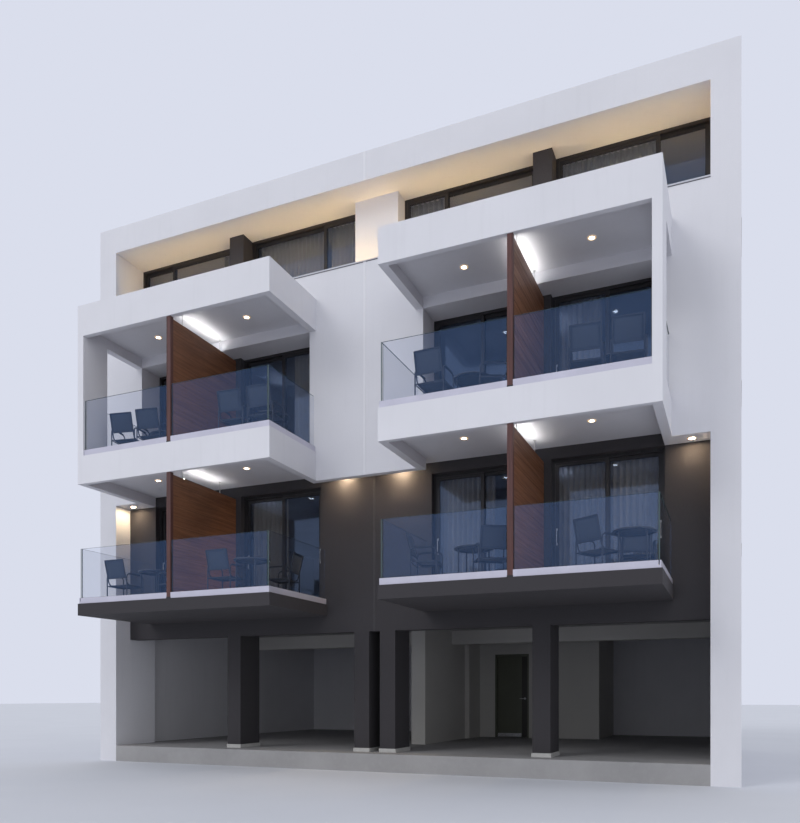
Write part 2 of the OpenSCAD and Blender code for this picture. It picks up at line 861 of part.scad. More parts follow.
module tables(places, z) {
    for (p = places)
        translate([p[0] * (divider_x + p[1]), -balcony_d + p[2], z]) table();
}

module balcony_chairs() {
    color("#23252b") placed() {
        chairs(first_floor_chairs, first_z);
        chairs(second_floor_chairs, second_z);
    }
}

module balcony_tables() {
    color("#2c2f36") placed() {
        tables(first_floor_tables, first_z);
        tables(second_floor_tables, second_z);
    }
}

ground_slab();
end_piers();
white_front_frame();
left_side_wall();
right_side_wall();
rear_wall();
first_floor_slab();
second_floor_slab();
third_floor_slab();
roof_slab();
first_floor_front_wall();
second_floor_front_wall();
dark_pilasters();
loggia_piers();
parapet_cap();
front_beam();
inner_beams();
columns();
column_bases();
centre_wall();
lobby_door_wall();
lobby_lintel();
lobby_side_wall();
entrance_frame();
entrance_door();
door_handles();
left_balcony_box();
right_balcony_box();
lower_balcony_slabs();
balcony_dividers();
divider_posts();
divider_hangers();
light_strips();
rail_channels();
rail_glass();
first_floor_windows();
second_floor_windows();
loggia_windows();
rear_windows();
side_windows();
front_glass();
rear_and_side_glass();
stone_sills();
ceiling_lamps();
balcony_chairs();
balcony_tables();
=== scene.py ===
"""Looks of a four-storey apartment block with two white balcony boxes.

Metres. X runs along the street front, the front looks towards -Y, Z is up, and the
origin is the middle of the footprint at the lowest level.
"""

import json
import math
import random
from collections import namedtuple

import bmesh
import bpy
from mathutils import Matrix, Vector


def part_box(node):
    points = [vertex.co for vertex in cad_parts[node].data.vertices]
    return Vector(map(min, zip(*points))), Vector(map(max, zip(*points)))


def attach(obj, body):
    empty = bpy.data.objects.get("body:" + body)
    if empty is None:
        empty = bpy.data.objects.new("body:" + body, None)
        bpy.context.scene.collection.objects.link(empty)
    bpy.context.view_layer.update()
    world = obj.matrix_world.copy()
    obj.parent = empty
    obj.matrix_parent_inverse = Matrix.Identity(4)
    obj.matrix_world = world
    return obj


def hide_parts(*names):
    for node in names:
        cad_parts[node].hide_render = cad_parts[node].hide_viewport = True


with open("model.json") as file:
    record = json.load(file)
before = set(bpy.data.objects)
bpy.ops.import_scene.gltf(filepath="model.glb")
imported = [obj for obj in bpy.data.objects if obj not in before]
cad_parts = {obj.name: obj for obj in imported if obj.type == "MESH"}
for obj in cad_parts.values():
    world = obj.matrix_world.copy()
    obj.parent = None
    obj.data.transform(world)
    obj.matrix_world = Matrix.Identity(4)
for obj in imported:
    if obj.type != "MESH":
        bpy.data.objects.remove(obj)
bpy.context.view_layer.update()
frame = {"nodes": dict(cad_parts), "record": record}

# -------------------- sizes shared with the construction

# The building
FRONT = -3.8475
REAR = 5.4525
HALF_W = 6.77
PIER_W = 0.465
INNER_X = HALF_W - PIER_W
WALL_T = 0.22
FRAME_D = 0.435
LIP_T = 0.15
FLOOR = 0.35
FIRST = 3.35
SECOND = 6.35
THIRD = 9.35
ROOF = 11.51
ROOF_TOP = 11.75
TOP = 12.075
CLEAR_H = 2.76
DOOR_H = 2.43
BEAM_BOTTOM = 2.77
PILASTER = 0.18

# The loggia
LOGGIA_H = 2.16
LOGGIA_Y = 0.855
CENTRE_PIER_W = 0.955
SILL_TOP = THIRD + 0.58
SILL_T = 0.2

# Balconies, dividers and railings
BALCONY_FRONT = FRONT - 1.635
BOX_X0 = 1.085
BOX_X1 = 5.705
BOX_WALL = 0.15
OPEN_X0 = BOX_X0 + BOX_WALL
OPEN_X1 = BOX_X1 - BOX_WALL
RECESS = 0.21
POST_D = 0.635
DIVIDER_X = 3.395
HALF_DIVIDER = 0.0475
DIVIDER_POST_D = 0.08
DIVIDER_GAP = 0.04
HANGER_YS = (BALCONY_FRONT + 0.415, FRONT - 0.05)
STRIP_GAP = 0.04
STRIP_W = 0.03
STRIP_H = 0.025
CHANNEL_SET = 0.02
CHANNEL_W = 0.06
CHANNEL_H = 0.115
CHANNEL_MID = CHANNEL_SET + CHANNEL_W / 2
RAIL_H = 1.12
PANE_GAP = 0.015
HALF_GLASS = 0.009

# Sliding windows
WINDOW_SET = 0.125
BALCONY_WIN_W = 1.98
NARROW_LEAF_W = 0.9
REAR_WIN_W = 2.4
SIDE_WIN_W = 1.3
SIDE_WIN_YS = (2.59625, 6.91875)
LOW_WIN_H = 1.4
LOW_WIN_SILL = 0.9
LOW_WIN_SET = 0.08
PROFILE = 0.055
LEAF_W = 0.06
LEAF_D = 0.038
REBATE = 0.006
FRONT_TRACK = 0.012
BACK_TRACK = 0.06
PANE_T = 0.024

# Entrance door
LOBBY_Y = 6.65
DOORWAY_X = 0.59
DOORWAY_W = 0.94
DOORWAY_H = 2.25
JAMB_W = 0.045
JAMB_D = 0.11
LEAF_T = 0.044

# Lamps: radius, places of those over the balconies, and x of the pair near the middle
LAMP_R = 0.075
LAMP_DX = 1.11
LAMP_Y = 0.65
LAMP_MID_X = 0.62

# Chairs: side, distance outward from the divider, distance behind the balcony's
# front edge, turn in degrees. Tables: the same without a turn
FIRST_CHAIRS = (
    (-1, 1.655, 0.615, 180), (-1, 0.555, 0.885, 270),
    (-1, -0.975, 0.515, 180), (-1, -1.84, 1.185, 280),
    (1, -1.615, 0.485, 100), (1, -0.475, 0.555, 210),
    (1, 1.29, 0.55, 150), (1, 1.805, 1.305, 10),
)
SECOND_CHAIRS = (
    (-1, 1.585, 0.665, 190), (-1, 0.935, 0.685, 190),
    (-1, -1.195, 0.555, 185), (-1, -1.845, 0.575, 185),
    (1, -1.45, 0.44, 178), (1, -0.485, 0.685, 290),
    (1, 1.105, 0.585, 185), (1, 1.76, 0.56, 185),
)
FIRST_TABLES = ((-1, 1.105, 0.915), (-1, -1.575, 0.515), (1, -0.945, 1.035), (1, 1.825, 0.685))
SECOND_TABLES = ((-1, 1.225, 1.355), (-1, -1.505, 1.285), (1, -1.005, 1.135), (1, 1.435, 1.355))

# The right half's placing and the left half's, which mirrors it
SIDES = (Matrix(), Matrix.Scale(-1, 4, (1, 0, 0)))

scene = bpy.context.scene

# Edges that turn by more than this are sharp
SHARP = math.radians(40)
# A rounded corner takes at most this share of the sides that meet there
CORNER_SHARE = 0.45
# Points nearer than this are one
MERGE = 1e-6
# The soft edge of small pieces
SMALL_EDGE = 0.002
# Sides of a round bar
BAR_SIDES = 8


# -------------------- materials

# Sockets of a Mix node that mixes colours
MIX_A, MIX_B, MIX_RESULT = 6, 7, 2
# Most values of a noise lie between these
NOISE_LOW, NOISE_HIGH = 0.25, 0.75


class Shader:
    """A node material whose variation and bump come from the part's own frame."""

    def __init__(self, name, colour, roughness, metallic=0.0):
        self.base = (*colour, 1)
        self.colour = None
        self.normal = None
        self.material = bpy.data.materials.new(name)
        self.material.use_nodes = True
        self.material.diffuse_color = self.base
        self.nodes = self.material.node_tree.nodes
        self.links = self.material.node_tree.links
        self.bsdf = self.nodes["Principled BSDF"]
        self.set("Base Color", self.base)
        self.set("Roughness", roughness)
        self.set("Metallic", metallic)

    def set(self, socket, value):
        self.bsdf.inputs[socket].default_value = value

    def place(self, scale=(1, 1, 1)):
        """The object's own coordinates, stretched by scale."""
        coordinates = self.nodes.new("ShaderNodeTexCoord")
        mapping = self.nodes.new("ShaderNodeMapping")
        mapping.inputs["Scale"].default_value = scale
        self.links.new(coordinates.outputs["Object"], mapping.inputs["Vector"])
        return mapping.outputs["Vector"]

    def noise(self, scale, stretch=(1, 1, 1), detail=4, rough=0.55, warp=0.0):
        node = self.nodes.new("ShaderNodeTexNoise")
        node.inputs["Scale"].default_value = scale
        node.inputs["Detail"].default_value = detail
        node.inputs["Roughness"].default_value = rough
        node.inputs["Distortion"].default_value = warp
        self.links.new(self.place(stretch), node.inputs["Vector"])
        return node.outputs["Fac"]

    def ramp(self, value, low, high, out_low, out_high):
        node = self.nodes.new("ShaderNodeMapRange")
        limits = {"From Min": low, "From Max": high, "To Min": out_low, "To Max": out_high}
        for socket, number in limits.items():
            node.inputs[socket].default_value = number
        self.links.new(value, node.inputs["Value"])
        return node.outputs["Result"]

    def tint(self, value, low, high, colour, most=1.0):
        """Mixes colour in as value goes from low to high, up to the share most."""
        factor = self.ramp(value, low, high, 0.0, most)
        node = self.nodes.new("ShaderNodeMix")
        node.data_type = "RGBA"
        self.links.new(factor, node.inputs["Factor"])
        if self.colour is None:
            node.inputs[MIX_A].default_value = self.base
        else:
            self.links.new(self.colour, node.inputs[MIX_A])
        node.inputs[MIX_B].default_value = (*colour, 1)
        self.colour = node.outputs[MIX_RESULT]
        self.links.new(self.colour, self.bsdf.inputs["Base Color"])

    def bump(self, height, distance, strength):
        node = self.nodes.new("ShaderNodeBump")
        node.inputs["Strength"].default_value = strength
        node.inputs["Distance"].default_value = distance
        self.links.new(height, node.inputs["Height"])
        if self.normal is not None:
            self.links.new(self.normal, node.inputs["Normal"])
        self.normal = node.outputs["Normal"]
        self.links.new(self.normal, self.bsdf.inputs["Normal"])

    def gloss(self, value, low, high):
        roughness = self.ramp(value, NOISE_LOW, NOISE_HIGH, low, high)
        self.links.new(roughness, self.bsdf.inputs["Roughness"])


def shaded(colour, factor):
    return tuple(c * factor for c in colour)


def grain(across, along, axis):
    """Scales of a grain that runs along axis 0, 1 or 2."""
    scales = [across, across, across]
    scales[axis] = along
    return scales


def render_finish(name, colour, rough=1.0, streaks=0.06):
    """Fine trowelled render: soft clouds, rain streaks and a sand grain."""
    m = Shader(name, colour, 0.82)
    m.tint(m.noise(0.7, detail=3), 0.35, 0.7, shaded(colour, 0.94))
    m.tint(m.noise(2.6, (3.2, 3.2, 0.22), 5), 0.55, 0.8, shaded(colour, 0.8), streaks * 4)
    m.tint(m.noise(95, detail=2), 0.3, 0.75, shaded(colour, 0.93), 0.5)
    m.bump(m.noise(9, detail=3), 0.004, 0.25 * rough)
    m.bump(m.noise(240, detail=3), 0.0016, 0.5 * rough)
    m.gloss(m.noise(60), 0.76, 0.9)
    return m.material


def concrete_finish(name, colour):
    """Cast concrete: clouds, pale patches and dark pores."""
    m = Shader(name, colour, 0.8)
    m.tint(m.noise(1.1, detail=6), 0.35, 0.7, shaded(colour, 0.84))
    m.tint(m.noise(7, detail=5, rough=0.7), 0.5, 0.8, shaded(colour, 1.12), 0.5)
    m.tint(m.noise(60, detail=2), 0.62, 0.8, shaded(colour, 0.7), 0.6)
    m.bump(m.noise(18, detail=5), 0.003, 0.35)
    m.bump(m.noise(160, detail=2), 0.001, 0.5)
    m.gloss(m.noise(12), 0.68, 0.88)
    return m.material


def stone_finish(name, colour):
    """Honed stone with veins and specks."""
    m = Shader(name, colour, 0.55)
    m.tint(m.noise(5, detail=6, warp=1.2), 0.4, 0.7, shaded(colour, 0.86))
    m.tint(m.noise(140, detail=2), 0.55, 0.75, shaded(colour, 0.72), 0.6)
    m.bump(m.noise(90, detail=4), 0.001, 0.4)
    m.gloss(m.noise(30), 0.4, 0.65)
    return m.material


def wood_finish(name, dark, pale, axis, gloss=0.42):
    """Grain that runs along an axis, with pores and slow colour bands."""
    fibres = grain(26.0, 0.9, axis)
    pores = grain(150.0, 5.0, axis)
    bands = grain(1.3, 0.15, axis)
    m = Shader(name, pale, gloss)
    m.tint(m.noise(1.0, fibres, 6, 0.62, 0.8), 0.35, 0.68, dark)
    m.tint(m.noise(1.0, bands, 2), 0.4, 0.7, shaded(dark, 1.25), 0.55)
    m.tint(m.noise(1.0, pores, 2), 0.56, 0.7, shaded(dark, 0.5), 0.55)
    m.bump(m.noise(1.0, fibres, 6), 0.0015, 0.35)
    m.bump(m.noise(1.0, pores, 2), 0.0006, 0.5)
    m.gloss(m.noise(1.0, fibres, 3), gloss - 0.06, gloss + 0.14)
    return m.material


def paint_finish(name, colour, roughness, metallic=0.0, peel=0.3):
    """Powder coat or paint: a slight orange peel and a little dust."""
    m = Shader(name, colour, roughness, metallic)
    m.tint(m.noise(3, detail=5), 0.45, 0.8, shaded(colour, 1.3), 0.35)
    m.tint(m.noise(40, detail=3), 0.6, 0.8, shaded(colour, 0.75), 0.4)
    m.bump(m.noise(700, detail=2), 0.0004, peel)
    m.gloss(m.noise(25, detail=4), roughness - 0.06, roughness + 0.1)
    return m.material


def brushed_finish(name, colour, roughness):
    """Metal brushed along X."""
    brush = grain(900.0, 6.0, 0)
    m = Shader(name, colour, roughness, 0.85)
    m.tint(m.noise(1.0, brush, 3), 0.35, 0.7, shaded(colour, 0.86))
    m.tint(m.noise(6, detail=4), 0.5, 0.8, shaded(colour, 0.8), 0.4)
    m.bump(m.noise(1.0, brush, 3), 0.0002, 0.4)
    m.gloss(m.noise(1.0, brush, 2), roughness - 0.06, roughness + 0.08)
    return m.material


def cloth_finish(name, colour, thread, sheen=0.25):
    """Plain weave from two crossed waves, with slubs."""
    m = Shader(name, colour, 0.88)
    m.tint(m.noise(1.0, (3, 3, 220), 3), 0.4, 0.75, shaded(colour, 0.8), 0.5)
    m.tint(m.noise(2.2, detail=4), 0.4, 0.75, shaded(colour, 1.18), 0.6)
    for direction in ("X", "Z"):
        wave = m.nodes.new("ShaderNodeTexWave")
        wave.bands_direction = direction
        wave.inputs["Scale"].default_value = thread
        wave.inputs["Distortion"].default_value = 0.4
        m.links.new(m.place(), wave.inputs["Vector"])
        m.bump(wave.outputs["Fac"], 0.0003, 0.3)
    m.set("Sheen Weight", sheen)
    m.gloss(m.noise(50), 0.8, 0.95)
    return m.material


def glass_finish(name, colour, alpha, ior, film):
    """Clear glass whose film gives the mirror image of the sky."""
    m = Shader(name, colour, 0.04, film)
    m.tint(m.noise(1.6, detail=3), 0.4, 0.7, shaded(colour, 1.2), 0.5)
    m.bump(m.noise(1.2, detail=1), 0.002, 0.12)
    m.gloss(m.noise(4, detail=5), 0.02, 0.07)
    m.set("Alpha", alpha)
    m.set("IOR", ior)
    return m.material


def glow_finish(name, colour, glow, strength):
    """A frosted cover that shines in the colour glow; on the lamp bezels this glow is painted
    light.
    """
    m = Shader(name, colour, 0.35)
    m.tint(m.noise(60, detail=2), 0.4, 0.7, shaded(colour, 0.93))
    m.bump(m.noise(400, detail=2), 0.0003, 0.3)
    m.set("Emission Color", (*glow, 1))
    m.set("Emission Strength", strength)
    return m.material


MATERIALS = {
    "concrete": concrete_finish("concrete", (0.34, 0.335, 0.34)),
    "white_render": render_finish("white_render", (0.72, 0.72, 0.765)),
    "side_render": render_finish("side_render", (0.7, 0.7, 0.74), 1.2, 0.09),
    "dark_render": render_finish("dark_render", (0.042, 0.039, 0.043), 1.0, 0.05),
    "inner_render": render_finish("inner_render", (0.52, 0.51, 0.49), 1.0, 0.03),
    "pale_stone": stone_finish("pale_stone", (0.5, 0.495, 0.485)),
    "cap_metal": paint_finish("cap_metal", (0.55, 0.555, 0.6), 0.42, 0.2),
    "door_paint": paint_finish("door_paint", (0.085, 0.09, 0.062), 0.42),
    "handle_metal": brushed_finish("handle_metal", (0.62, 0.62, 0.63), 0.28),
    "divider_wood": wood_finish("divider_wood", (0.12, 0.047, 0.022), (0.255, 0.112, 0.052), 1),
    "post_wood": wood_finish("post_wood", (0.055, 0.022, 0.019), (0.115, 0.045, 0.038), 2, 0.4),
    "frame_metal": paint_finish("frame_metal", (0.028, 0.027, 0.03), 0.36, 0.25),
    "lamp_light": glow_finish("lamp_light", (0.9, 0.9, 0.88), (1.0, 0.9, 0.76), 12.0),
    "channel_metal": paint_finish("channel_metal", (0.56, 0.55, 0.64), 0.34, 0.35, 0.15),
    "rail_glass": glass_finish("rail_glass", (0.17, 0.3, 0.58), 0.08, 1.5, 0.85),
    "window_glass": glass_finish("window_glass", (0.13, 0.18, 0.28), 0.24, 1.6, 0.8),
    "chair_frame": paint_finish("chair_frame", (0.022, 0.023, 0.028), 0.4, 0.2),
    "table_top": paint_finish("table_top", (0.035, 0.038, 0.045), 0.3, 0.0, 0.15),
}
RUBBER = paint_finish("rubber_seal", (0.012, 0.012, 0.012), 0.62)
CURTAIN = cloth_finish("curtain_cloth", (0.36, 0.345, 0.32), 900)
SLING = cloth_finish("sling_cloth", (0.03, 0.036, 0.05), 260, 0.1)
RAIL_WHITE = paint_finish("rail_white", (0.7, 0.7, 0.69), 0.4)
TILE = stone_finish("tile_stone", (0.36, 0.355, 0.35))
MEMBRANE = concrete_finish("roof_membrane", (0.27, 0.275, 0.285))
GLASS_EDGE = paint_finish("glass_edge", (0.06, 0.095, 0.1), 0.16)
LED = glow_finish("led_light", (0.95, 0.95, 0.95), (1.0, 0.97, 0.92), 34.0)
UPLIGHT = glow_finish("loggia_uplight", (0.92, 0.9, 0.84), (1.0, 0.65, 0.22), 64.0)
WALL_LAMP = glow_finish("wall_lamp_light", (0.9, 0.88, 0.8), (1.0, 0.76, 0.46), 420.0)
BAND_LAMP = glow_finish("band_lamp_light", (0.9, 0.88, 0.8), (1.0, 0.76, 0.46), 1040.0)
LENS_RIM = glow_finish("lens_rim", (0.9, 0.86, 0.78), (1.0, 0.66, 0.25), 0.7)
# The lamp bezels glow faintly warm: a painted glow of the lamps' light on the metal rings
PAINTED_BEZEL_GLOW = glow_finish("bezel_painted_glow", (0.7, 0.69, 0.66), (1.0, 0.6, 0.25), 0.35)


def new_object(name, data):
    obj = bpy.data.objects.new(name, data)
    scene.collection.objects.link(obj)
    return obj


def soften(obj, width):
    """Rounds the sharp edges of an object."""
    bevel = obj.modifiers.new("soft_edges", "BEVEL")
    bevel.width = width
    bevel.segments = 2
    bevel.limit_method = "ANGLE"
    bevel.angle_limit = SHARP


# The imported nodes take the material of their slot, and masonry gets soft edges. The
# roof slab's underside is the loggia's soffit, rendered white as the frame round it
PLASTERED = {"roof_slab": "white_render"}
EDGE_WIDTH = {
    "white_render": 0.006, "side_render": 0.006, "dark_render": 0.005, "inner_render": 0.005,
    "concrete": 0.006, "pale_stone": 0.004, "cap_metal": 0.003,
    "post_wood": 0.003, "divider_wood": 0.003,
}
for part in frame["record"]["subparts"]:
    node = frame["nodes"][part["node"]]
    slot_name = part["material_slot"]
    node.data.materials.clear()
    node.data.materials.append(MATERIALS[PLASTERED.get(part["node"], slot_name)])
    if slot_name in EDGE_WIDTH:
        soften(node, EDGE_WIDTH[slot_name])


# -------------------- mesh helpers


def placed(x, y, z, turn=0.0):
    """Places something at x, y, z, turned about its own vertical."""
    return Matrix.Translation((x, y, z)) @ Matrix.Rotation(turn, 4, "Z")


def about(middle, half):
    """The span that reaches half to either side of middle."""
    return middle - half, middle + half


def moved(span, by):
    return span[0] + by, span[1] + by


def add_box(bm, x, y, z, matrix=None):
    """A box between the corners given by the pairs x, y and z."""
    matrix = matrix or Matrix()
    verts = [bm.verts.new(matrix @ Vector((a, b, c))) for c in z for b in y for a in x]
    quads = ((0, 2, 3, 1), (4, 5, 7, 6), (0, 1, 5, 4), (2, 6, 7, 3), (0, 4, 6, 2), (1, 3, 7, 5))
    for loop in quads:
        bm.faces.new([verts[i] for i in loop])


def add_ring(bm, x, z, width, y, matrix=None):
    """A rectangular frame in the XZ plane, made of four bars."""
    add_box(bm, x, y, (z[0], z[0] + width), matrix)
    add_box(bm, x, y, (z[1] - width, z[1]), matrix)
    add_box(bm, (x[0], x[0] + width), y, (z[0] + width, z[1] - width), matrix)
    add_box(bm, (x[1] - width, x[1]), y, (z[0] + width, z[1] - width), matrix)


def add_tube(bm, points, radius, sides, matrix, material=0):
    """A round bar along points, with closed ends."""
    points = [Vector(p) for p in points]
    loops = []
    side = None
    for i, point in enumerate(points):
        ahead = points[min(i + 1, len(points) - 1)] - points[max(i - 1, 0)]
        ahead.normalize()
        if side is None:
            side = ahead.orthogonal()
        side = (side - ahead * side.dot(ahead)).normalized()
        up = ahead.cross(side)
        loop = []
        for k in range(sides):
            angle = 2 * math.pi * k / sides
            offset = (side * math.cos(angle) + up * math.sin(angle)) * radius
            loop.append(bm.verts.new(matrix @ (point + offset)))
        loops.append(loop)
    for a, b in zip(loops, loops[1:]):
        for k in range(sides):
            n = (k + 1) % sides
            bm.faces.new((a[k], a[n], b[n], b[k])).material_index = material
    bm.faces.new(loops[0][::-1]).material_index = material
    bm.faces.new(loops[-1]).material_index = material


def rounded(points, radius, steps=4):
    """The path through points with its corners rounded."""
    points = [Vector(p) for p in points]
    path = [points[0]]
    for before, corner, after in zip(points, points[1:], points[2:]):
        a = (before - corner).normalized()
        b = (after - corner).normalized()
        shorter = min((before - corner).length, (after - corner).length)
        reach = min(radius, shorter * CORNER_SHARE)
        start, end = corner + a * reach, corner + b * reach
        for k in range(steps + 1):
            t = k / steps
            path.append(start * (1 - t) ** 2 + corner * 2 * t * (1 - t) + end * t ** 2)
    path.append(points[-1])
    return path


def add_lathe(bm, profile, centre, segments, matrix=None, material=0):
    """Turns a closed profile of (radius, height) about a vertical axis."""
    matrix = matrix or Matrix()
    centre = Vector(centre)
    loops = []
    for k in range(segments):
        angle = 2 * math.pi * k / segments
        loops.append([
            bm.verts.new(matrix @ (centre + Vector((r * math.cos(angle), r * math.sin(angle), h))))
            for r, h in profile
        ])
    count = len(profile)
    for k in range(segments):
        a, b = loops[k], loops[(k + 1) % segments]
        for i in range(count):
            j = (i + 1) % count
            bm.faces.new((a[i], b[i], b[j], a[j])).material_index = material


def make_piece(name, bm, slot, materials=None, body="building", smooth=False, bevel=0.0):
    """Turns the mesh into a piece that rides on a body, in its slot's material or others."""
    bmesh.ops.remove_doubles(bm, verts=bm.verts, dist=MERGE)
    bmesh.ops.dissolve_degenerate(bm, edges=bm.edges, dist=MERGE)
    bmesh.ops.recalc_face_normals(bm, faces=bm.faces)
    mesh = bpy.data.meshes.new(name)
    bm.to_mesh(mesh)
    bm.free()
    for material in materials or [MATERIALS[slot]]:
        mesh.materials.append(material)
    if smooth:
        mesh.shade_smooth()
        mesh.set_sharp_from_angle(angle=SHARP)
    obj = new_object(name, mesh)
    if bevel:
        soften(obj, bevel)
    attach(obj, body)
    return obj


def make_cloth(name, grid, slot, material, thickness):
    """A cloth of even thickness through a grid of points."""
    bm = bmesh.new()
    rows = [[bm.verts.new(point) for point in row] for row in grid]
    for a, b in zip(rows, rows[1:]):
        for i in range(len(a) - 1):
            bm.faces.new((a[i], b[i], b[i + 1], a[i + 1]))
    obj = make_piece(name, bm, slot, [material], smooth=True)
    thick = obj.modifiers.new("thickness", "SOLIDIFY")
    thick.thickness = thickness
    thick.offset = 0
    return obj


# -------------------- windows

# at: the window's own frame, with x along its width, y inward and z up. split: the
# place of the meeting stiles. head: the curtain's head above the window's foot
Window = namedtuple("Window", "kind at width height split head")
CURTAIN_RAIL_H = 0.018
loggia_left_w = DIVIDER_X - PILASTER - CENTRE_PIER_W / 2
loggia_right_w = INNER_X - DIVIDER_X - PILASTER
LOGGIA_WINDOWS = (
    (CENTRE_PIER_W / 2, loggia_left_w, NARROW_LEAF_W),
    (DIVIDER_X + PILASTER, loggia_right_w, loggia_right_w - NARROW_LEAF_W),
)
windows = []
for side in SIDES:
    for z in (FIRST, SECOND):
        for x in (OPEN_X0, DIVIDER_X + PILASTER):
            at = side @ placed(x, FRONT + FRAME_D + WINDOW_SET, z)
            head = CLEAR_H - CURTAIN_RAIL_H
            windows.append(Window("balcony", at, BALCONY_WIN_W, DOOR_H, BALCONY_WIN_W / 2, head))
    for x, width, split in LOGGIA_WINDOWS:
        at = side @ placed(x, FRONT + LOGGIA_Y, THIRD)
        windows.append(Window("loggia", at, width, LOGGIA_H, split, LOGGIA_H - CURTAIN_RAIL_H))
    for z in (FIRST, SECOND, THIRD):
        foot = z + LOW_WIN_SILL
        head = (LOGGIA_H if z == THIRD else CLEAR_H) - LOW_WIN_SILL - CURTAIN_RAIL_H
        at = side @ placed(DIVIDER_X + REAR_WIN_W / 2, REAR - LOW_WIN_SET, foot, math.pi)
        windows.append(Window("rear", at, REAR_WIN_W, LOW_WIN_H, REAR_WIN_W / 2, head))
        for y in SIDE_WIN_YS:
            start_y = FRONT + y - SIDE_WIN_W / 2
            at = side @ placed(HALF_W - LOW_WIN_SET, start_y, foot, math.pi / 2)
            windows.append(Window("side", at, SIDE_WIN_W, LOW_WIN_H, SIDE_WIN_W / 2, head))

# By kind of window: foot and length of the handles, whether they are on the room's
# side, how far the curtain rail goes past the window, and the curtain's depth and foot
Fittings = namedtuple("Fittings", "handle_z handle_l inside rail_past depth foot")
FITTINGS = {
    "balcony": Fittings(0.9, 0.27, False, 0.02, 0.21, 0.02),
    "loggia": Fittings(0.9, 0.27, False, -0.03, 0.21, 0.02),
    "rear": Fittings(0.52, 0.16, True, 0.02, 0.22, -0.12),
    "side": Fittings(0.52, 0.16, True, 0.02, 0.22, -0.12),
}
LEAF_INSET = PROFILE - REBATE + LEAF_W
STILE_MID = PROFILE - REBATE + LEAF_W / 2
GASKET = 0.007
GASKET_SET = 0.001
TRACK_H = 0.008
FRONT_TRACK_Y = (0.026, 0.034)
BACK_TRACK_Y = (0.075, 0.083)
WEEP_SHARES = (0.25, 0.75)
WEEP_HALF_W = 0.02
WEEP_Y = (-0.0015, 0.001)
WEEP_Z = (0.018, 0.024)
HANDLE_OUT = 0.032
HANDLE_BEND = 0.014
HANDLE_R = 0.0075
HANDLE_FOOT_X = 0.013
HANDLE_FOOT_Z = 0.02
HANDLE_FOOT_SHARE = 0.08
CURTAIN_RAIL_HALF_D = 0.012

gaskets = bmesh.new()
handles = bmesh.new()
tracks = bmesh.new()
rails = bmesh.new()
for window in windows:
    fit = FITTINGS[window.kind]
    at, width, split = window.at, window.width, window.split
    first_end, second_start = split - LEAF_W / 2, split + LEAF_W / 2
    first, second = (LEAF_INSET, first_end), (second_start, width - LEAF_INSET)
    span = (LEAF_INSET, window.height - LEAF_INSET)
    for x, track in ((first, FRONT_TRACK), (second, BACK_TRACK)):
        glass = track + (LEAF_D - PANE_T) / 2
        back = (glass + PANE_T, track + LEAF_D - GASKET_SET)
        add_ring(gaskets, x, span, GASKET, (track + GASKET_SET, glass), at)
        add_ring(gaskets, x, span, GASKET, back, at)
    # a rail under each leaf's empty half, and weep slots in the outer frame
    track_z = (PROFILE, PROFILE + TRACK_H)
    add_box(tracks, (second_start, width - PROFILE), FRONT_TRACK_Y, track_z, at)
    add_box(tracks, (PROFILE, first_end), BACK_TRACK_Y, track_z, at)
    for share in WEEP_SHARES:
        add_box(gaskets, about(width * share, WEEP_HALF_W), WEEP_Y, WEEP_Z, at)
    # a bow handle on the outer stile of each leaf
    low, high = fit.handle_z, fit.handle_z + fit.handle_l
    for x, track in ((STILE_MID, FRONT_TRACK), (width - STILE_MID, BACK_TRACK)):
        face, out = (track + LEAF_D, HANDLE_OUT) if fit.inside else (track, -HANDLE_OUT)
        bow = [(x, face, low), (x, face + out, low), (x, face + out, high), (x, face, high)]
        add_tube(handles, rounded(bow, HANDLE_BEND), HANDLE_R, BAR_SIDES, at)
        foot_y = sorted((face, face + out * HANDLE_FOOT_SHARE))
        for z in (low, high):
            add_box(handles, about(x, HANDLE_FOOT_X), foot_y, about(z, HANDLE_FOOT_Z), at)
    # curtain rail behind the window
    rail_x = (-fit.rail_past, width + fit.rail_past)
    rail_y = about(fit.depth, CURTAIN_RAIL_HALF_D)
    add_box(rails, rail_x, rail_y, (window.head, window.head + CURTAIN_RAIL_H), at)

make_piece("window_gaskets", gaskets, "frame_metal", [RUBBER])
make_piece("window_handles", handles, "handle_metal", smooth=True)
make_piece("window_tracks", tracks, "handle_metal")
curtain_rails = make_piece("curtain_rails", rails, "channel_metal", [RAIL_WHITE])

# Pleats: pitch, fewest, points along each, depth at the head, how much deeper they are
# below the share of the drop on which they open, their own share of that, their wander
PLEAT_W = 0.105
PLEATS_MIN = 3
PLEAT_POINTS = 8
PLEAT_DEPTH = 0.026
PLEAT_DEEPER = 0.014
PLEAT_OPENS = 0.25
PLEAT_SIZES = (0.75, 1.15)
PLEAT_DRIFT = (-0.5, 0.5)
PLEAT_WANDER = 0.014
PLEAT_PHASE = 0.9
CURTAIN_ROWS = 9
CURTAIN_T = 0.0015


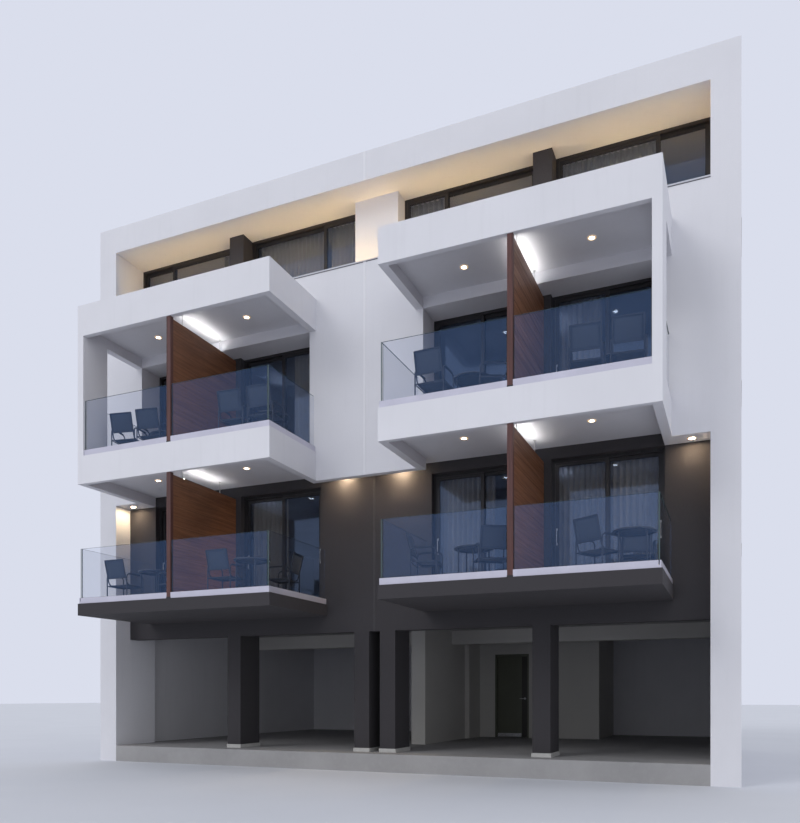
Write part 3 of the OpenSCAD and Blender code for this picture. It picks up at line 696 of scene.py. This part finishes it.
def curtain(name, window, start, end, seed):
    """One gathered curtain: deep pleats that wander a little on their way down."""
    rng = random.Random(seed)
    fit, head = FITTINGS[window.kind], window.head
    x0, x1 = start * window.width, end * window.width
    pleats = max(PLEATS_MIN, round((x1 - x0) / PLEAT_W))
    columns = pleats * PLEAT_POINTS + 1
    drift = [rng.uniform(*PLEAT_DRIFT) for _ in range(pleats + 1)]
    deep = [rng.uniform(*PLEAT_SIZES) for _ in range(pleats + 1)]
    grid = []
    for row in range(CURTAIN_ROWS):
        down = row / (CURTAIN_ROWS - 1)
        z = head + (fit.foot - head) * down
        amplitude = PLEAT_DEPTH + PLEAT_DEEPER * min(1.0, down / PLEAT_OPENS)
        line = []
        for column in range(columns):
            t = column / PLEAT_POINTS
            pleat = min(int(t), pleats - 1)
            part = t - pleat
            wander = drift[pleat] * (1 - part) + drift[pleat + 1] * part
            size = deep[pleat] * (1 - part) + deep[pleat + 1] * part
            x = x0 + (x1 - x0) * column / (columns - 1) + PLEAT_WANDER * wander * down
            turn = 2 * math.pi * t + PLEAT_PHASE * wander * down
            line.append(Vector((x, fit.depth + amplitude * size * math.sin(turn), z)))
        grid.append(line)
    placed_grid = [[window.at @ point for point in line] for line in grid]
    obj = make_cloth(name, placed_grid, None, CURTAIN, CURTAIN_T)


# Shares of the window's width that the curtains cover, from its end near the centre
# line: the right half's windows first, each storey's inner window before its outer one.
# The rear and side windows have one across their whole width
DRAWN = {
    "balcony": (
        ((0.03, 0.6),), ((0.0, 0.46), (0.5, 1.0)), ((0.84, 1.0),), ((0.03, 0.44), (0.88, 1.0)),
        ((0.5, 0.95),), ((0.0, 0.5),), ((0.0, 0.42),), ((0.4, 1.0),),
    ),
    "loggia": (((0.02, 0.3),), ((0.02, 0.66),), ((0.02, 0.31), (0.35, 0.96)), ((0.04, 0.2),)),
}
counts = {}
for number, window in enumerate(windows):
    count = counts[window.kind] = counts.get(window.kind, 0) + 1
    name = f"{window.kind}_curtain_{count}"
    if window.kind in DRAWN:
        for k, (start, end) in enumerate(DRAWN[window.kind][count - 1]):
            curtain(f"{name}_{'ab'[k]}", window, start, end, 2 * number + k)
    else:
        curtain(name, window, 0.0, 1.0, 2 * number)

# -------------------- balconies

LIP_W = 0.006
LIP_Z = (-0.001, 0.005)
EDGE_T = 0.0015
TILE_W = 0.33
TILE_JOINT = 0.004
TILE_MIN = 0.02
TILE_T = 0.0012
TILE_UNEVEN = 0.0003
TILE_SEED = 7

gasket_lines = bmesh.new()
glass_edges = bmesh.new()
tiles = bmesh.new()
tile_rng = random.Random(TILE_SEED)
front_y = BALCONY_FRONT + CHANNEL_MID
inner_x, outer_x = BOX_X0 + CHANNEL_MID, BOX_X1 - CHANNEL_MID
divider = about(DIVIDER_X, HALF_DIVIDER)
channel = CHANNEL_SET + CHANNEL_W
for side in SIDES:
    # the upper balconies have a post at their outer corner, which ends the railing
    for z, post, back in ((FIRST, False, FRONT + FRAME_D), (SECOND, True, FRONT)):
        top, head = z + CHANNEL_H, z + RAIL_H
        # gaskets along both faces of the glass
        end_x = OPEN_X1 if post else BOX_X1 - CHANNEL_SET
        side_y = BALCONY_FRONT + (POST_D if post else CHANNEL_SET) + CHANNEL_W / 2
        lip_z = moved(LIP_Z, top)
        for lip in ((-HALF_GLASS - LIP_W, -HALF_GLASS), (HALF_GLASS, HALF_GLASS + LIP_W)):
            for x in ((inner_x, divider[0]), (divider[1], end_x)):
                add_box(gasket_lines, x, moved(lip, front_y), lip_z, side)
            for x, y0 in ((inner_x, front_y), (outer_x, side_y)):
                add_box(gasket_lines, moved(lip, x), (y0, back), lip_z, side)
        # polished edges of the panes
        pane_y = about(front_y, HALF_GLASS)
        pane_end = OPEN_X1 if post else outer_x - HALF_GLASS
        for x0, x1 in ((inner_x + HALF_GLASS, divider[0]), (divider[1], pane_end)):
            x0, x1 = x0 + PANE_GAP, x1 - PANE_GAP
            add_box(glass_edges, (x0, x1), pane_y, (head, head + EDGE_T), side)
            for x in ((x0 - EDGE_T, x0), (x1, x1 + EDGE_T)):
                add_box(glass_edges, x, pane_y, (top, head), side)
        outer_start = BALCONY_FRONT + POST_D + PANE_GAP if post else pane_y[0]
        for x, y0 in ((inner_x, pane_y[0]), (outer_x, outer_start)):
            x = about(x, HALF_GLASS)
            add_box(glass_edges, x, (y0, back - PANE_GAP), (head, head + EDGE_T), side)
            add_box(glass_edges, x, (y0 - EDGE_T, y0), (top, head), side)
        # floor tiles
        x_start, x_end = BOX_X0 + channel, OPEN_X1 if post else BOX_X1 - channel
        y_start, y_end = BALCONY_FRONT + channel, FRONT + FRAME_D
        for column in range(math.ceil((x_end - x_start) / TILE_W)):
            for row in range(math.ceil((y_end - y_start) / TILE_W)):
                x0, y0 = x_start + column * TILE_W, y_start + row * TILE_W
                x1 = min(x0 + TILE_W - TILE_JOINT, x_end)
                y1 = min(y0 + TILE_W - TILE_JOINT, y_end)
                if x1 - x0 > TILE_MIN and y1 - y0 > TILE_MIN:
                    lift = TILE_T + tile_rng.uniform(-TILE_UNEVEN, TILE_UNEVEN)
                    add_box(tiles, (x0, x1), (y0, y1), (z, z + lift), side)

make_piece("channel_gaskets", gasket_lines, "channel_metal", [RUBBER])
make_piece("rail_glass_edges", glass_edges, "rail_glass", [GLASS_EDGE])
make_piece("balcony_tiles", tiles, "concrete", [TILE])

# Dividers: steel shoes under posts and boards, board joints, the light strip's
# housing, and plates at both ends of the hangers
POST_SHOE = 0.004
POST_SHOE_H = 0.03
BOARD_SHOE = 0.003
BOARD_SHOE_H = 0.012
BOARD_H = 0.2
BOARD_COUNT = 12
JOINT_H = 0.004
JOINT_T = 0.0016
JOINT_PROUD = 0.0012
HOUSING_T = 0.004
DIFFUSER_Z = (0.003, 0.0235)
PLATE_R, PLATE_RIM, PLATE_T, PLATE_EDGE = 0.028, 0.024, 0.006, 0.004
PLATE_SIDES = 24
UPPER_PLATE = [
    (0.0, 0.0), (PLATE_R, 0.0), (PLATE_R, -PLATE_EDGE), (PLATE_RIM, -PLATE_T), (0.0, -PLATE_T),
]
LOWER_PLATE = [
    (0.0, PLATE_T), (PLATE_RIM, PLATE_T), (PLATE_R, PLATE_EDGE), (PLATE_R, 0.0), (0.0, 0.0),
]

shoes = bmesh.new()
joints = bmesh.new()
housings = bmesh.new()
diffusers = bmesh.new()
hanger_plates = bmesh.new()
post_front = BALCONY_FRONT + CHANNEL_SET
board_y = (post_front + DIVIDER_POST_D, FRONT + FRAME_D)
post_shoe_y = (post_front - POST_SHOE, post_front + DIVIDER_POST_D + POST_SHOE)
strip_y = (HANGER_YS[0] + STRIP_GAP, HANGER_YS[1] - STRIP_GAP)
strip_x = about(DIVIDER_X, STRIP_W / 2)
for side in SIDES:
    for z in (FIRST, SECOND):
        x = (divider[0] - POST_SHOE, divider[1] + POST_SHOE)
        add_box(shoes, x, post_shoe_y, (z, z + POST_SHOE_H), side)
        x = (divider[0] - BOARD_SHOE, divider[1] + BOARD_SHOE)
        add_box(shoes, x, board_y, (z, z + BOARD_SHOE_H), side)
        for k in range(1, BOARD_COUNT):
            joint_z = (z + BOARD_H * k, z + BOARD_H * k + JOINT_H)
            for x0 in (divider[0] - JOINT_PROUD, divider[1] + JOINT_PROUD - JOINT_T):
                add_box(joints, (x0, x0 + JOINT_T), board_y, joint_z, side)
        top = z + DOOR_H - DIVIDER_GAP
        for x in ((strip_x[0] - HOUSING_T, strip_x[0]), (strip_x[1], strip_x[1] + HOUSING_T)):
            add_box(housings, x, strip_y, (top, top + STRIP_H), side)
        add_box(diffusers, strip_x, strip_y, moved(DIFFUSER_Z, top), side)
        for y in HANGER_YS:
            for plate, plate_z in ((UPPER_PLATE, z + DOOR_H + RECESS), (LOWER_PLATE, top)):
                add_lathe(hanger_plates, plate, (DIVIDER_X, y, plate_z), PLATE_SIDES, side)

make_piece("post_shoes", shoes, "frame_metal", bevel=SMALL_EDGE)
make_piece("divider_board_joints", joints, "divider_wood", [RUBBER])
make_piece("strip_housings", housings, "frame_metal")
strips = make_piece("strip_diffusers", diffusers, "lamp_light", [LED], bevel=0.003)
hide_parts("light_strips")
make_piece("hanger_plates", hanger_plates, "handle_metal", smooth=True)

# Round lamps: a turned bezel round a lens that sits a little back, bright in the
# middle and with a warm rim. The warm lamps wash the walls beside the lower balconies,
# and the pair near the middle is the stronger one
BEZEL = [
    (LAMP_R, 0.0), (LAMP_R, -0.008), (0.071, -0.012), (0.064, -0.012), (0.06, -0.007), (0.06, 0.0),
]
LENS = [
    (0.0, 0.0), (0.06, 0.0), (0.06, -0.006), (0.05, -0.0085), (0.044, -0.009),
    (0.036, -0.0093), (0.0, -0.01),
]
LENS_MIDDLE = 0.04
LAMP_SIDES = 48
CORE, RIM, BAND_CORE = 0, 1, 2

bezels = bmesh.new()
warm = bmesh.new()
cool = bmesh.new()
for side in SIDES:
    ceiling = DOOR_H + RECESS
    spots = [
        (DIVIDER_X + dx, FRONT - LAMP_Y, z + ceiling, cool, CORE)
        for z in (FIRST, SECOND) for dx in (-LAMP_DX, LAMP_DX)
    ]
    spots.append((LAMP_MID_X, FRONT + (LIP_T + FRAME_D) / 2, FIRST + ceiling, warm, BAND_CORE))
    spots.append(((BOX_X1 + INNER_X) / 2, FRONT + FRAME_D / 2, FIRST + DOOR_H, warm, CORE))
    for x, y, z, lens, core in spots:
        add_lathe(bezels, BEZEL, (x, y, z), LAMP_SIDES, side)
        done = len(lens.faces)
        add_lathe(lens, LENS, (x, y, z), LAMP_SIDES, side)
        lens.faces.ensure_lookup_table()
        for face in lens.faces[done:]:
            at = face.calc_center_median()
            in_rim = math.hypot(abs(at.x) - x, at.y - y) > LENS_MIDDLE
            face.material_index = RIM if in_rim else core
# the bezels carry a faint painted glow of the lamps' light
make_piece("lamp_bezels", bezels, "channel_metal", [PAINTED_BEZEL_GLOW], smooth=True)
cool_glow = [MATERIALS["lamp_light"], LENS_RIM]
warm_glow = [WALL_LAMP, LENS_RIM, BAND_LAMP]
balcony_lenses = make_piece("balcony_lamp_lenses", cool, "lamp_light", cool_glow, smooth=True)
wall_lenses = make_piece("wall_lamp_lenses", warm, "lamp_light", warm_glow, smooth=True)
wall_lenses.visible_glossy = False
for lamp in (balcony_lenses, wall_lenses):
    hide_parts("ceiling_lamps")

# Uplights behind the loggia's parapet: a channel with a diffuser in it
UPLIGHT_W = 0.04
UPLIGHT_H = 0.04
UPLIGHT_DROP = 0.06
UPLIGHT_XS = ((0.04, 3.1), (3.7, 6.25))
UPLIGHT_BASE = 0.004
UPLIGHT_WALL = 0.003
UPLIGHT_END = 0.01

channels = bmesh.new()
uplights = bmesh.new()
y0, y1 = FRONT + SILL_T, FRONT + SILL_T + UPLIGHT_W
top = SILL_TOP - UPLIGHT_DROP
foot = top - UPLIGHT_H
base = foot + UPLIGHT_BASE
for side in SIDES:
    for x in UPLIGHT_XS:
        add_box(channels, x, (y0, y1), (foot, base), side)
        for y in ((y0, y0 + UPLIGHT_WALL), (y1 - UPLIGHT_WALL, y1)):
            add_box(channels, x, y, (base, top), side)
        light_x = (x[0] + UPLIGHT_END, x[1] - UPLIGHT_END)
        light_y = (y0 + UPLIGHT_WALL, y1 - UPLIGHT_WALL)
        add_box(uplights, light_x, light_y, (base, top - UPLIGHT_BASE), side)
make_piece("loggia_uplight_channels", channels, "cap_metal")
make_piece("loggia_uplight_diffusers", uplights, "lamp_light", [UPLIGHT], bevel=SMALL_EDGE)

# -------------------- furniture

# Chair, with its front towards -Y: x of the arms and of the slings' rails, heights of
# seat and arms, the round bars, and the back, measured along its lean
CHAIR_X = 0.261
SLING_X = 0.236
SEAT_Z = 0.404
SEAT_BAR_Z = SEAT_Z - 0.006
UNDER_Z = SEAT_Z - 0.02
ARM_Z = 0.626
BAR_R = 0.0125
CROSS_R = BAR_R * 0.9
THIN_R = BAR_R * 0.8
LEG_Y = 0.222
LEG_OUT = 0.004
FOOT_H = 0.03
FOOT_R = BAR_R * 1.3
FOOT_SIDES = 10
PAD_HALF_W = 0.02
PAD_Y = (-0.17, 0.16)
PAD_Z = (ARM_Z + 0.006, ARM_Z + 0.014)
ARM_BEND = 0.07
RAIL_BEND, RAIL_BEND_STEPS = 0.09, 5
LEAN = math.radians(14)
BACK_FOOT = (0.192, SEAT_Z - 0.004)
BACK_TOP = 0.51
BACK_GAP = 0.14
SEAT_START = -0.232
SEAT_END = 0.14


def back_point(distance):
    """The y and z of the back at a distance from its foot."""
    return BACK_FOOT[0] + distance * math.sin(LEAN), BACK_FOOT[1] + distance * math.cos(LEAN)


# Side views as (y, z): the bar from the front foot over the arm to the back foot, the
# rail that carries the slings, and the bars across between the rails
ARM_LOOP = (
    (-LEG_Y - LEG_OUT, 0.004), (-LEG_Y, ARM_Z - 0.012), (-0.05, ARM_Z),
    (LEG_Y + LEG_OUT, ARM_Z - 0.01), (LEG_Y, 0.004),
)
SLING_RAIL = ((SEAT_START, SEAT_BAR_Z), (BACK_FOOT[0], SEAT_BAR_Z), back_point(BACK_TOP))
CROSS_BARS = (
    (SEAT_START, SEAT_BAR_Z), (SEAT_END, SEAT_BAR_Z), back_point(BACK_GAP), back_point(BACK_TOP),
)


def add_chair(bm, feet, at):
    def bar(points, radius):
        add_tube(bm, points, radius, BAR_SIDES, at)

    for x in (-CHAIR_X, CHAIR_X):
        bar(rounded([(x, y, z) for y, z in ARM_LOOP], ARM_BEND), BAR_R)
        bar([(x, -LEG_Y, UNDER_Z), (x, LEG_Y, UNDER_Z)], THIN_R)
        for y in (-LEG_Y - LEG_OUT, LEG_Y):
            add_tube(feet, [(x, y, 0.0), (x, y, FOOT_H)], FOOT_R, FOOT_SIDES, at)
        # flat armrest pad
        add_box(feet, about(x, PAD_HALF_W), PAD_Y, PAD_Z, at)
    for x in (-SLING_X, SLING_X):
        bar(rounded([(x, y, z) for y, z in SLING_RAIL], RAIL_BEND, RAIL_BEND_STEPS), BAR_R)
    for y, z in CROSS_BARS:
        bar([(-SLING_X, y, z), (SLING_X, y, z)], CROSS_R)
    for y in (-LEG_Y, LEG_Y):
        bar([(-CHAIR_X, y, UNDER_Z), (CHAIR_X, y, UNDER_Z)], THIN_R)


SLING_STEP = 0.04
SLING_COLUMNS = 8
SLING_HALF_W = SLING_X - 0.006
SLING_DIP = 0.012
SLING_T = 0.002


def sling(name, at, frames, foot, head):
    """A stretched cloth between two cross bars, which dips a little between its rails."""
    length = (head - foot).length
    steps = round(length / SLING_STEP)
    normal = Vector((0, foot.z - head.z, head.y - foot.y)).normalized()
    grid = []
    for k in range(SLING_COLUMNS + 1):
        t = 2 * k / SLING_COLUMNS - 1
        column = []
        for i in range(steps + 1):
            along = i / steps
            dip = SLING_DIP * (1 - t * t) * math.sin(math.pi * along)
            flat = foot.lerp(head, along) + Vector((SLING_HALF_W * t, 0, 0))
            column.append(at @ (flat - normal * dip))
        grid.append(column)
    obj = make_cloth(name, grid, "chair_frame", SLING, SLING_T)


def furniture_places(rows, z):
    """The placings of a storey's chairs or tables."""
    for side, outward, behind, *turn in rows:
        angle = math.radians(turn[0]) if turn else 0.0
        yield placed(side * (DIVIDER_X + outward), BALCONY_FRONT + behind, z, angle)


chair_frames = bmesh.new()
chair_feet = bmesh.new()
places = [*furniture_places(FIRST_CHAIRS, FIRST), *furniture_places(SECOND_CHAIRS, SECOND)]
for at in places:
    add_chair(chair_frames, chair_feet, at)
frames = make_piece("chair_frames", chair_frames, "chair_frame", smooth=True)
make_piece(
    "chair_feet_and_pads", chair_feet, "chair_frame", [RUBBER], smooth=True, bevel=SMALL_EDGE
)
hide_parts("balcony_chairs")
SEAT_ENDS = [Vector((0, y, SEAT_Z + 0.006)) for y in (-0.23, SEAT_END)]
BACK_ENDS = [Vector((0, y - 0.008, z)) for y, z in (back_point(BACK_GAP), back_point(BACK_TOP))]
for number, at in enumerate(places, 1):
    sling(f"chair_seat_{number}", at, frames, *SEAT_ENDS)
    sling(f"chair_back_{number}", at, frames, *BACK_ENDS)

# Table: turned profiles of the top, of the ring under it and of the hub where the
# legs' ties meet, and one leg and tie as (x, y, z)
TABLE_R = 0.35
TABLE_H = 0.71
TABLE_TOP = [
    (0.0, TABLE_H), (TABLE_R - 0.008, TABLE_H), (TABLE_R - 0.002, TABLE_H - 0.003),
    (TABLE_R, TABLE_H - 0.009), (TABLE_R, TABLE_H - 0.018), (TABLE_R - 0.006, TABLE_H - 0.025),
    (0.0, TABLE_H - 0.02),
]
TABLE_RING = [
    (0.285, TABLE_H - 0.022), (0.305, TABLE_H - 0.022), (0.305, TABLE_H - 0.042),
    (0.285, TABLE_H - 0.042),
]
TABLE_HUB = [(0.0, 0.19), (0.05, 0.19), (0.05, 0.212), (0.0, 0.212)]
TABLE_LEG = rounded([(0.295, 0, TABLE_H - 0.03), (0.3, 0, 0.3), (0.308, 0, 0.0)], 0.1)
TABLE_TIE = [(0.3, 0, 0.22), (0.0, 0, 0.2)]
LEG_R = 0.0135
TIE_R = 0.007
LEG_SIDES = 10
TOP_SIDES, RING_SIDES, HUB_SIDES = 64, 48, 32
LEG_TURNS = [math.pi / 4 + k * math.pi / 2 for k in range(4)]

tables = bmesh.new()
for at in [*furniture_places(FIRST_TABLES, FIRST), *furniture_places(SECOND_TABLES, SECOND)]:
    add_lathe(tables, TABLE_TOP, (0, 0, 0), TOP_SIDES, at)
    add_lathe(tables, TABLE_RING, (0, 0, 0), RING_SIDES, at, 1)
    for angle in LEG_TURNS:
        turn = at @ Matrix.Rotation(angle, 4, "Z")
        add_tube(tables, TABLE_LEG, LEG_R, LEG_SIDES, turn, 1)
        add_tube(tables, TABLE_TIE, TIE_R, BAR_SIDES, turn, 1)
    add_lathe(tables, TABLE_HUB, (0, 0, 0), HUB_SIDES, at, 1)
table_finishes = [MATERIALS["table_top"], MATERIALS["chair_frame"]]
table_set = make_piece("balcony_table_set", tables, "table_top", table_finishes, smooth=True)
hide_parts("balcony_tables")

# -------------------- joint covers and the door

# Section of a cover as (x, outward), and how far it stays short of the cap and the top
COVER = (
    (-0.026, 0.0), (-0.023, -0.004), (-0.008, -0.0055),
    (0.008, -0.0055), (0.023, -0.004), (0.026, 0.0),
)
CAP_CLEAR = 0.002
TOP_CLEAR = 0.004

covers = bmesh.new()
dark_covers = bmesh.new()
runs = (
    (covers, FRONT, 1, FIRST + DOOR_H, SILL_TOP - CAP_CLEAR),
    (covers, FRONT, 1, ROOF, TOP - TOP_CLEAR),
    (covers, REAR, -1, 0.0, TOP - TOP_CLEAR),
    (dark_covers, FRONT + FRAME_D, 1, BEAM_BOTTOM, FIRST + DOOR_H + RECESS),
)
for bm, wall, out, low, high in runs:
    ends = [[bm.verts.new((x, wall + out * y, z)) for x, y in COVER] for z in (low, high)]
    count = len(COVER)
    for i in range(count):
        j = (i + 1) % count
        bm.faces.new((ends[0][i], ends[0][j], ends[1][j], ends[1][i]))
    bm.faces.new(ends[0])
    bm.faces.new(ends[1])
white_cover = render_finish("joint_cover_white", (0.77, 0.77, 0.81), 0.2, 0.02)
make_piece("joint_cover_white", covers, "white_render", [white_cover])
dark_cover = paint_finish("joint_cover_dark", (0.04, 0.037, 0.04), 0.5)
make_piece("joint_cover_dark", dark_covers, "dark_render", [dark_cover])

# A thin dark strip under the drip edge of the parapet's cap: painted shadow of the cap's overhang
SHADOW_LINE_X = 0.03
SHADOW_LINE_H = 0.01
SHADOW_LINE_Y = (FRONT - 0.007, FRONT + 0.001)

shadow_lines = bmesh.new()
for side in SIDES:
    add_box(shadow_lines, (SHADOW_LINE_X, INNER_X), SHADOW_LINE_Y, (SILL_TOP - SHADOW_LINE_H, SILL_TOP), side)
# the strip's dark grey is the painted shadow
painted_shadow_line = paint_finish("painted_shadow_line", (0.1, 0.1, 0.11), 0.6)
make_piece("cap_painted_shadow_line", shadow_lines, "cap_metal", [painted_shadow_line])

# Entrance door: a dark strip down the leaf at its +X edge, painted shade of the jamb there, a kick
# plate, and the frame's seal
SHADE_STRIP_X = (-0.155, -0.005)
SHADE_STRIP_Z = (FLOOR + 0.02, FLOOR + 2.18)
SHADE_STRIP_HALF_T = 0.002
KICK_START = 0.02
KICK_END = 0.17
KICK_Z = (FLOOR + 0.02, FLOOR + 0.115)
KICK_Y = (-0.0015, 0.001)
SEAL_IN = 0.002
SEAL_W = 0.003
SEAL_Y = (0.006, 0.03)
SEAL_FOOT = FLOOR - 0.03

door_low, door_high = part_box("entrance_door")
leaf_front = FRONT + LOBBY_Y + JAMB_D - LEAF_T
leaf_right_x = door_high[0]
# a dark plate on the leaf's face beside the jamb: painted shade
jamb_shade_strip = bmesh.new()
add_box(jamb_shade_strip, moved(SHADE_STRIP_X, leaf_right_x), about(leaf_front, SHADE_STRIP_HALF_T), SHADE_STRIP_Z)
jamb_shade_paint = paint_finish("door_jamb_shade_paint", (0.03, 0.028, 0.024), 0.35, 0.4)
make_piece("door_painted_jamb_shade", jamb_shade_strip, "door_paint", [jamb_shade_paint], "door", bevel=0.001)
kick = bmesh.new()
kick_x = (door_low[0] + KICK_START, leaf_right_x - KICK_END)
add_box(kick, kick_x, moved(KICK_Y, leaf_front), KICK_Z)
make_piece("door_kick_plate", kick, "handle_metal", body="door", bevel=0.0005)
seal = bmesh.new()
seal_x = (DOORWAY_X + JAMB_W + SEAL_IN, DOORWAY_X + DOORWAY_W - JAMB_W - SEAL_IN)
seal_z = (SEAL_FOOT, FLOOR + DOORWAY_H - JAMB_W - SEAL_IN)
add_ring(seal, seal_x, seal_z, SEAL_W, moved(SEAL_Y, leaf_front))
make_piece("door_seal", seal, "frame_metal", [RUBBER])

# -------------------- flat roof

ROOF_X = (-HALF_W + WALL_T, HALF_W - WALL_T)
ROOF_Y = (FRONT + FRAME_D, REAR - WALL_T)
SHEET_W = 1.0
SHEET_LAP = 0.08
SHEET_LIFTS = (0.007, 0.004)
MEMBRANE_T = 0.006
UPSTAND = ROOF_TOP + 0.22
CLAMP_T = 0.004
CLAMP_H = 0.04


def edge_bands(near, far):
    """The four bands along the roof's edges, between two distances from them."""
    low, high = (near, far), (-far, -near)
    for y in (moved(low, ROOF_Y[0]), moved(high, ROOF_Y[1])):
        yield ROOF_X, y
    for x in (moved(low, ROOF_X[0]), moved(high, ROOF_X[1])):
        yield x, ROOF_Y


membrane = bmesh.new()
for k in range(math.ceil((ROOF_X[1] - ROOF_X[0]) / SHEET_W)):
    x0 = ROOF_X[0] + k * SHEET_W
    x1 = min(x0 + SHEET_W + SHEET_LAP, ROOF_X[1])
    add_box(membrane, (x0, x1), ROOF_Y, (ROOF_TOP, ROOF_TOP + SHEET_LIFTS[k % 2]))
for x, y in edge_bands(0.0, MEMBRANE_T):
    add_box(membrane, x, y, (ROOF_TOP, UPSTAND))
clamps = bmesh.new()
for x, y in edge_bands(MEMBRANE_T, MEMBRANE_T + CLAMP_T):
    add_box(clamps, x, y, (UPSTAND - CLAMP_H, UPSTAND))
make_piece("roof_membrane", membrane, "concrete", [MEMBRANE], bevel=SMALL_EDGE)
make_piece("roof_clamp_strips", clamps, "cap_metal")

# Outlets: a turned flange under a cage of bent bars
OUTLET_X = 3.4
OUTLET_Y = REAR - 0.7
FLANGE = [(0.0, 0.012), (0.09, 0.012), (0.11, 0.006), (0.11, 0.0), (0.0, 0.0)]
CAGE_BAR = rounded([(0.085, 0, 0.018), (0.07, 0, 0.07), (0.0, 0, 0.09)], 0.03)
CAGE_BARS = 8
CAGE_R = 0.004
FLANGE_SIDES, CAGE_SIDES = 40, 6

outlets = bmesh.new()
for x in (-OUTLET_X, OUTLET_X):
    add_lathe(outlets, FLANGE, (x, OUTLET_Y, ROOF_TOP + MEMBRANE_T), FLANGE_SIDES)
    for k in range(CAGE_BARS):
        turn = placed(x, OUTLET_Y, ROOF_TOP, 2 * math.pi * k / CAGE_BARS)
        add_tube(outlets, CAGE_BAR, CAGE_R, CAGE_SIDES, turn)
make_piece("roof_outlets", outlets, "frame_metal", smooth=True)

# -------------------- camera, light, floor

# The camera, solved from the photo: its place, turn, focal length in pixels, and the
# pixel where its level axis meets the picture
PHOTO_W, PHOTO_H = 800, 823
CAMERA_AT = (6.741, -17.0425, 1.472)
YAW = math.radians(22.599)
FOCAL_PX = 758.678
CENTRE_X, HORIZON_Y = 423.726, 695.942
SENSOR_W = 36
FAR = 500

optics = bpy.data.cameras.new("camera")
optics.sensor_fit = "HORIZONTAL"
optics.sensor_width = SENSOR_W
optics.lens = SENSOR_W * FOCAL_PX / PHOTO_W
optics.shift_x = (PHOTO_W / 2 - CENTRE_X) / PHOTO_W
optics.shift_y = (HORIZON_Y - PHOTO_H / 2) / PHOTO_W
optics.clip_end = FAR
camera = new_object("camera", optics)
camera.location = CAMERA_AT
camera.rotation_euler = (math.radians(90), 0, YAW)
scene.camera = camera

STUDIO_HALF_W = 120
STUDIO_FLOOR = (0.64, 0.66, 0.72)
STUDIO_FLOOR_CLOUDS = (0.62, 0.64, 0.7)

floor_mesh = bmesh.new()
bmesh.ops.create_grid(floor_mesh, x_segments=1, y_segments=1, size=STUDIO_HALF_W)
mesh = bpy.data.meshes.new("studio_floor")
floor_mesh.to_mesh(mesh)
floor_mesh.free()
floor_shader = Shader("studio_floor", STUDIO_FLOOR, 0.9)
floor_shader.tint(floor_shader.noise(0.4, detail=3), 0.35, 0.7, STUDIO_FLOOR_CLOUDS)
mesh.materials.append(floor_shader.material)
floor = new_object("studio_floor", mesh)
floor.visible_shadow = False

# The world lights the object with one colour, and shows another where it is seen
# itself, in gloss or through glass
SKY_LIGHT, SKY_STRENGTH = (0.93, 0.95, 1.0, 1), 0.8
SKY_SEEN, SKY_SEEN_STRENGTH = (0.7, 0.73, 0.84, 1), 1.0

world = bpy.data.worlds.new("studio")
scene.world = world
world.use_nodes = True
nodes, links = world.node_tree.nodes, world.node_tree.links


def either(a, b):
    """The larger of two values, which is 1 where one of two flags is set."""
    node = nodes.new("ShaderNodeMath")
    node.operation = "MAXIMUM"
    links.new(a, node.inputs[0])
    links.new(b, node.inputs[1])
    return node.outputs[0]


background = nodes["Background"]
background.inputs["Color"].default_value = SKY_LIGHT
background.inputs["Strength"].default_value = SKY_STRENGTH
pale = nodes.new("ShaderNodeBackground")
pale.inputs["Color"].default_value = SKY_SEEN
pale.inputs["Strength"].default_value = SKY_SEEN_STRENGTH
path = nodes.new("ShaderNodeLightPath").outputs
seen = either(either(path["Is Camera Ray"], path["Is Glossy Ray"]), path["Is Transmission Ray"])
mix = nodes.new("ShaderNodeMixShader")
links.new(seen, mix.inputs[0])
links.new(background.outputs[0], mix.inputs[1])
links.new(pale.outputs[0], mix.inputs[2])
links.new(mix.outputs[0], nodes["World Output"].inputs["Surface"])

# Soft suns: name, strength, and spread and turn in degrees
SUNS = (
    ("key", 0.7, 25, (58, 0, -32)),
    ("fill", 0.25, 60, (70, 0, 50)),
    ("bounce", 0.5, 90, (130, 0, 20)),
)
for name, strength, spread, turn in SUNS:
    light = bpy.data.lights.new(name, "SUN")
    light.energy = strength
    light.angle = math.radians(spread)
    lamp = new_object(name, light)
    lamp.rotation_euler = tuple(math.radians(a) for a in turn)
    lamp.visible_glossy = False

scene.view_settings.view_transform = "Standard"
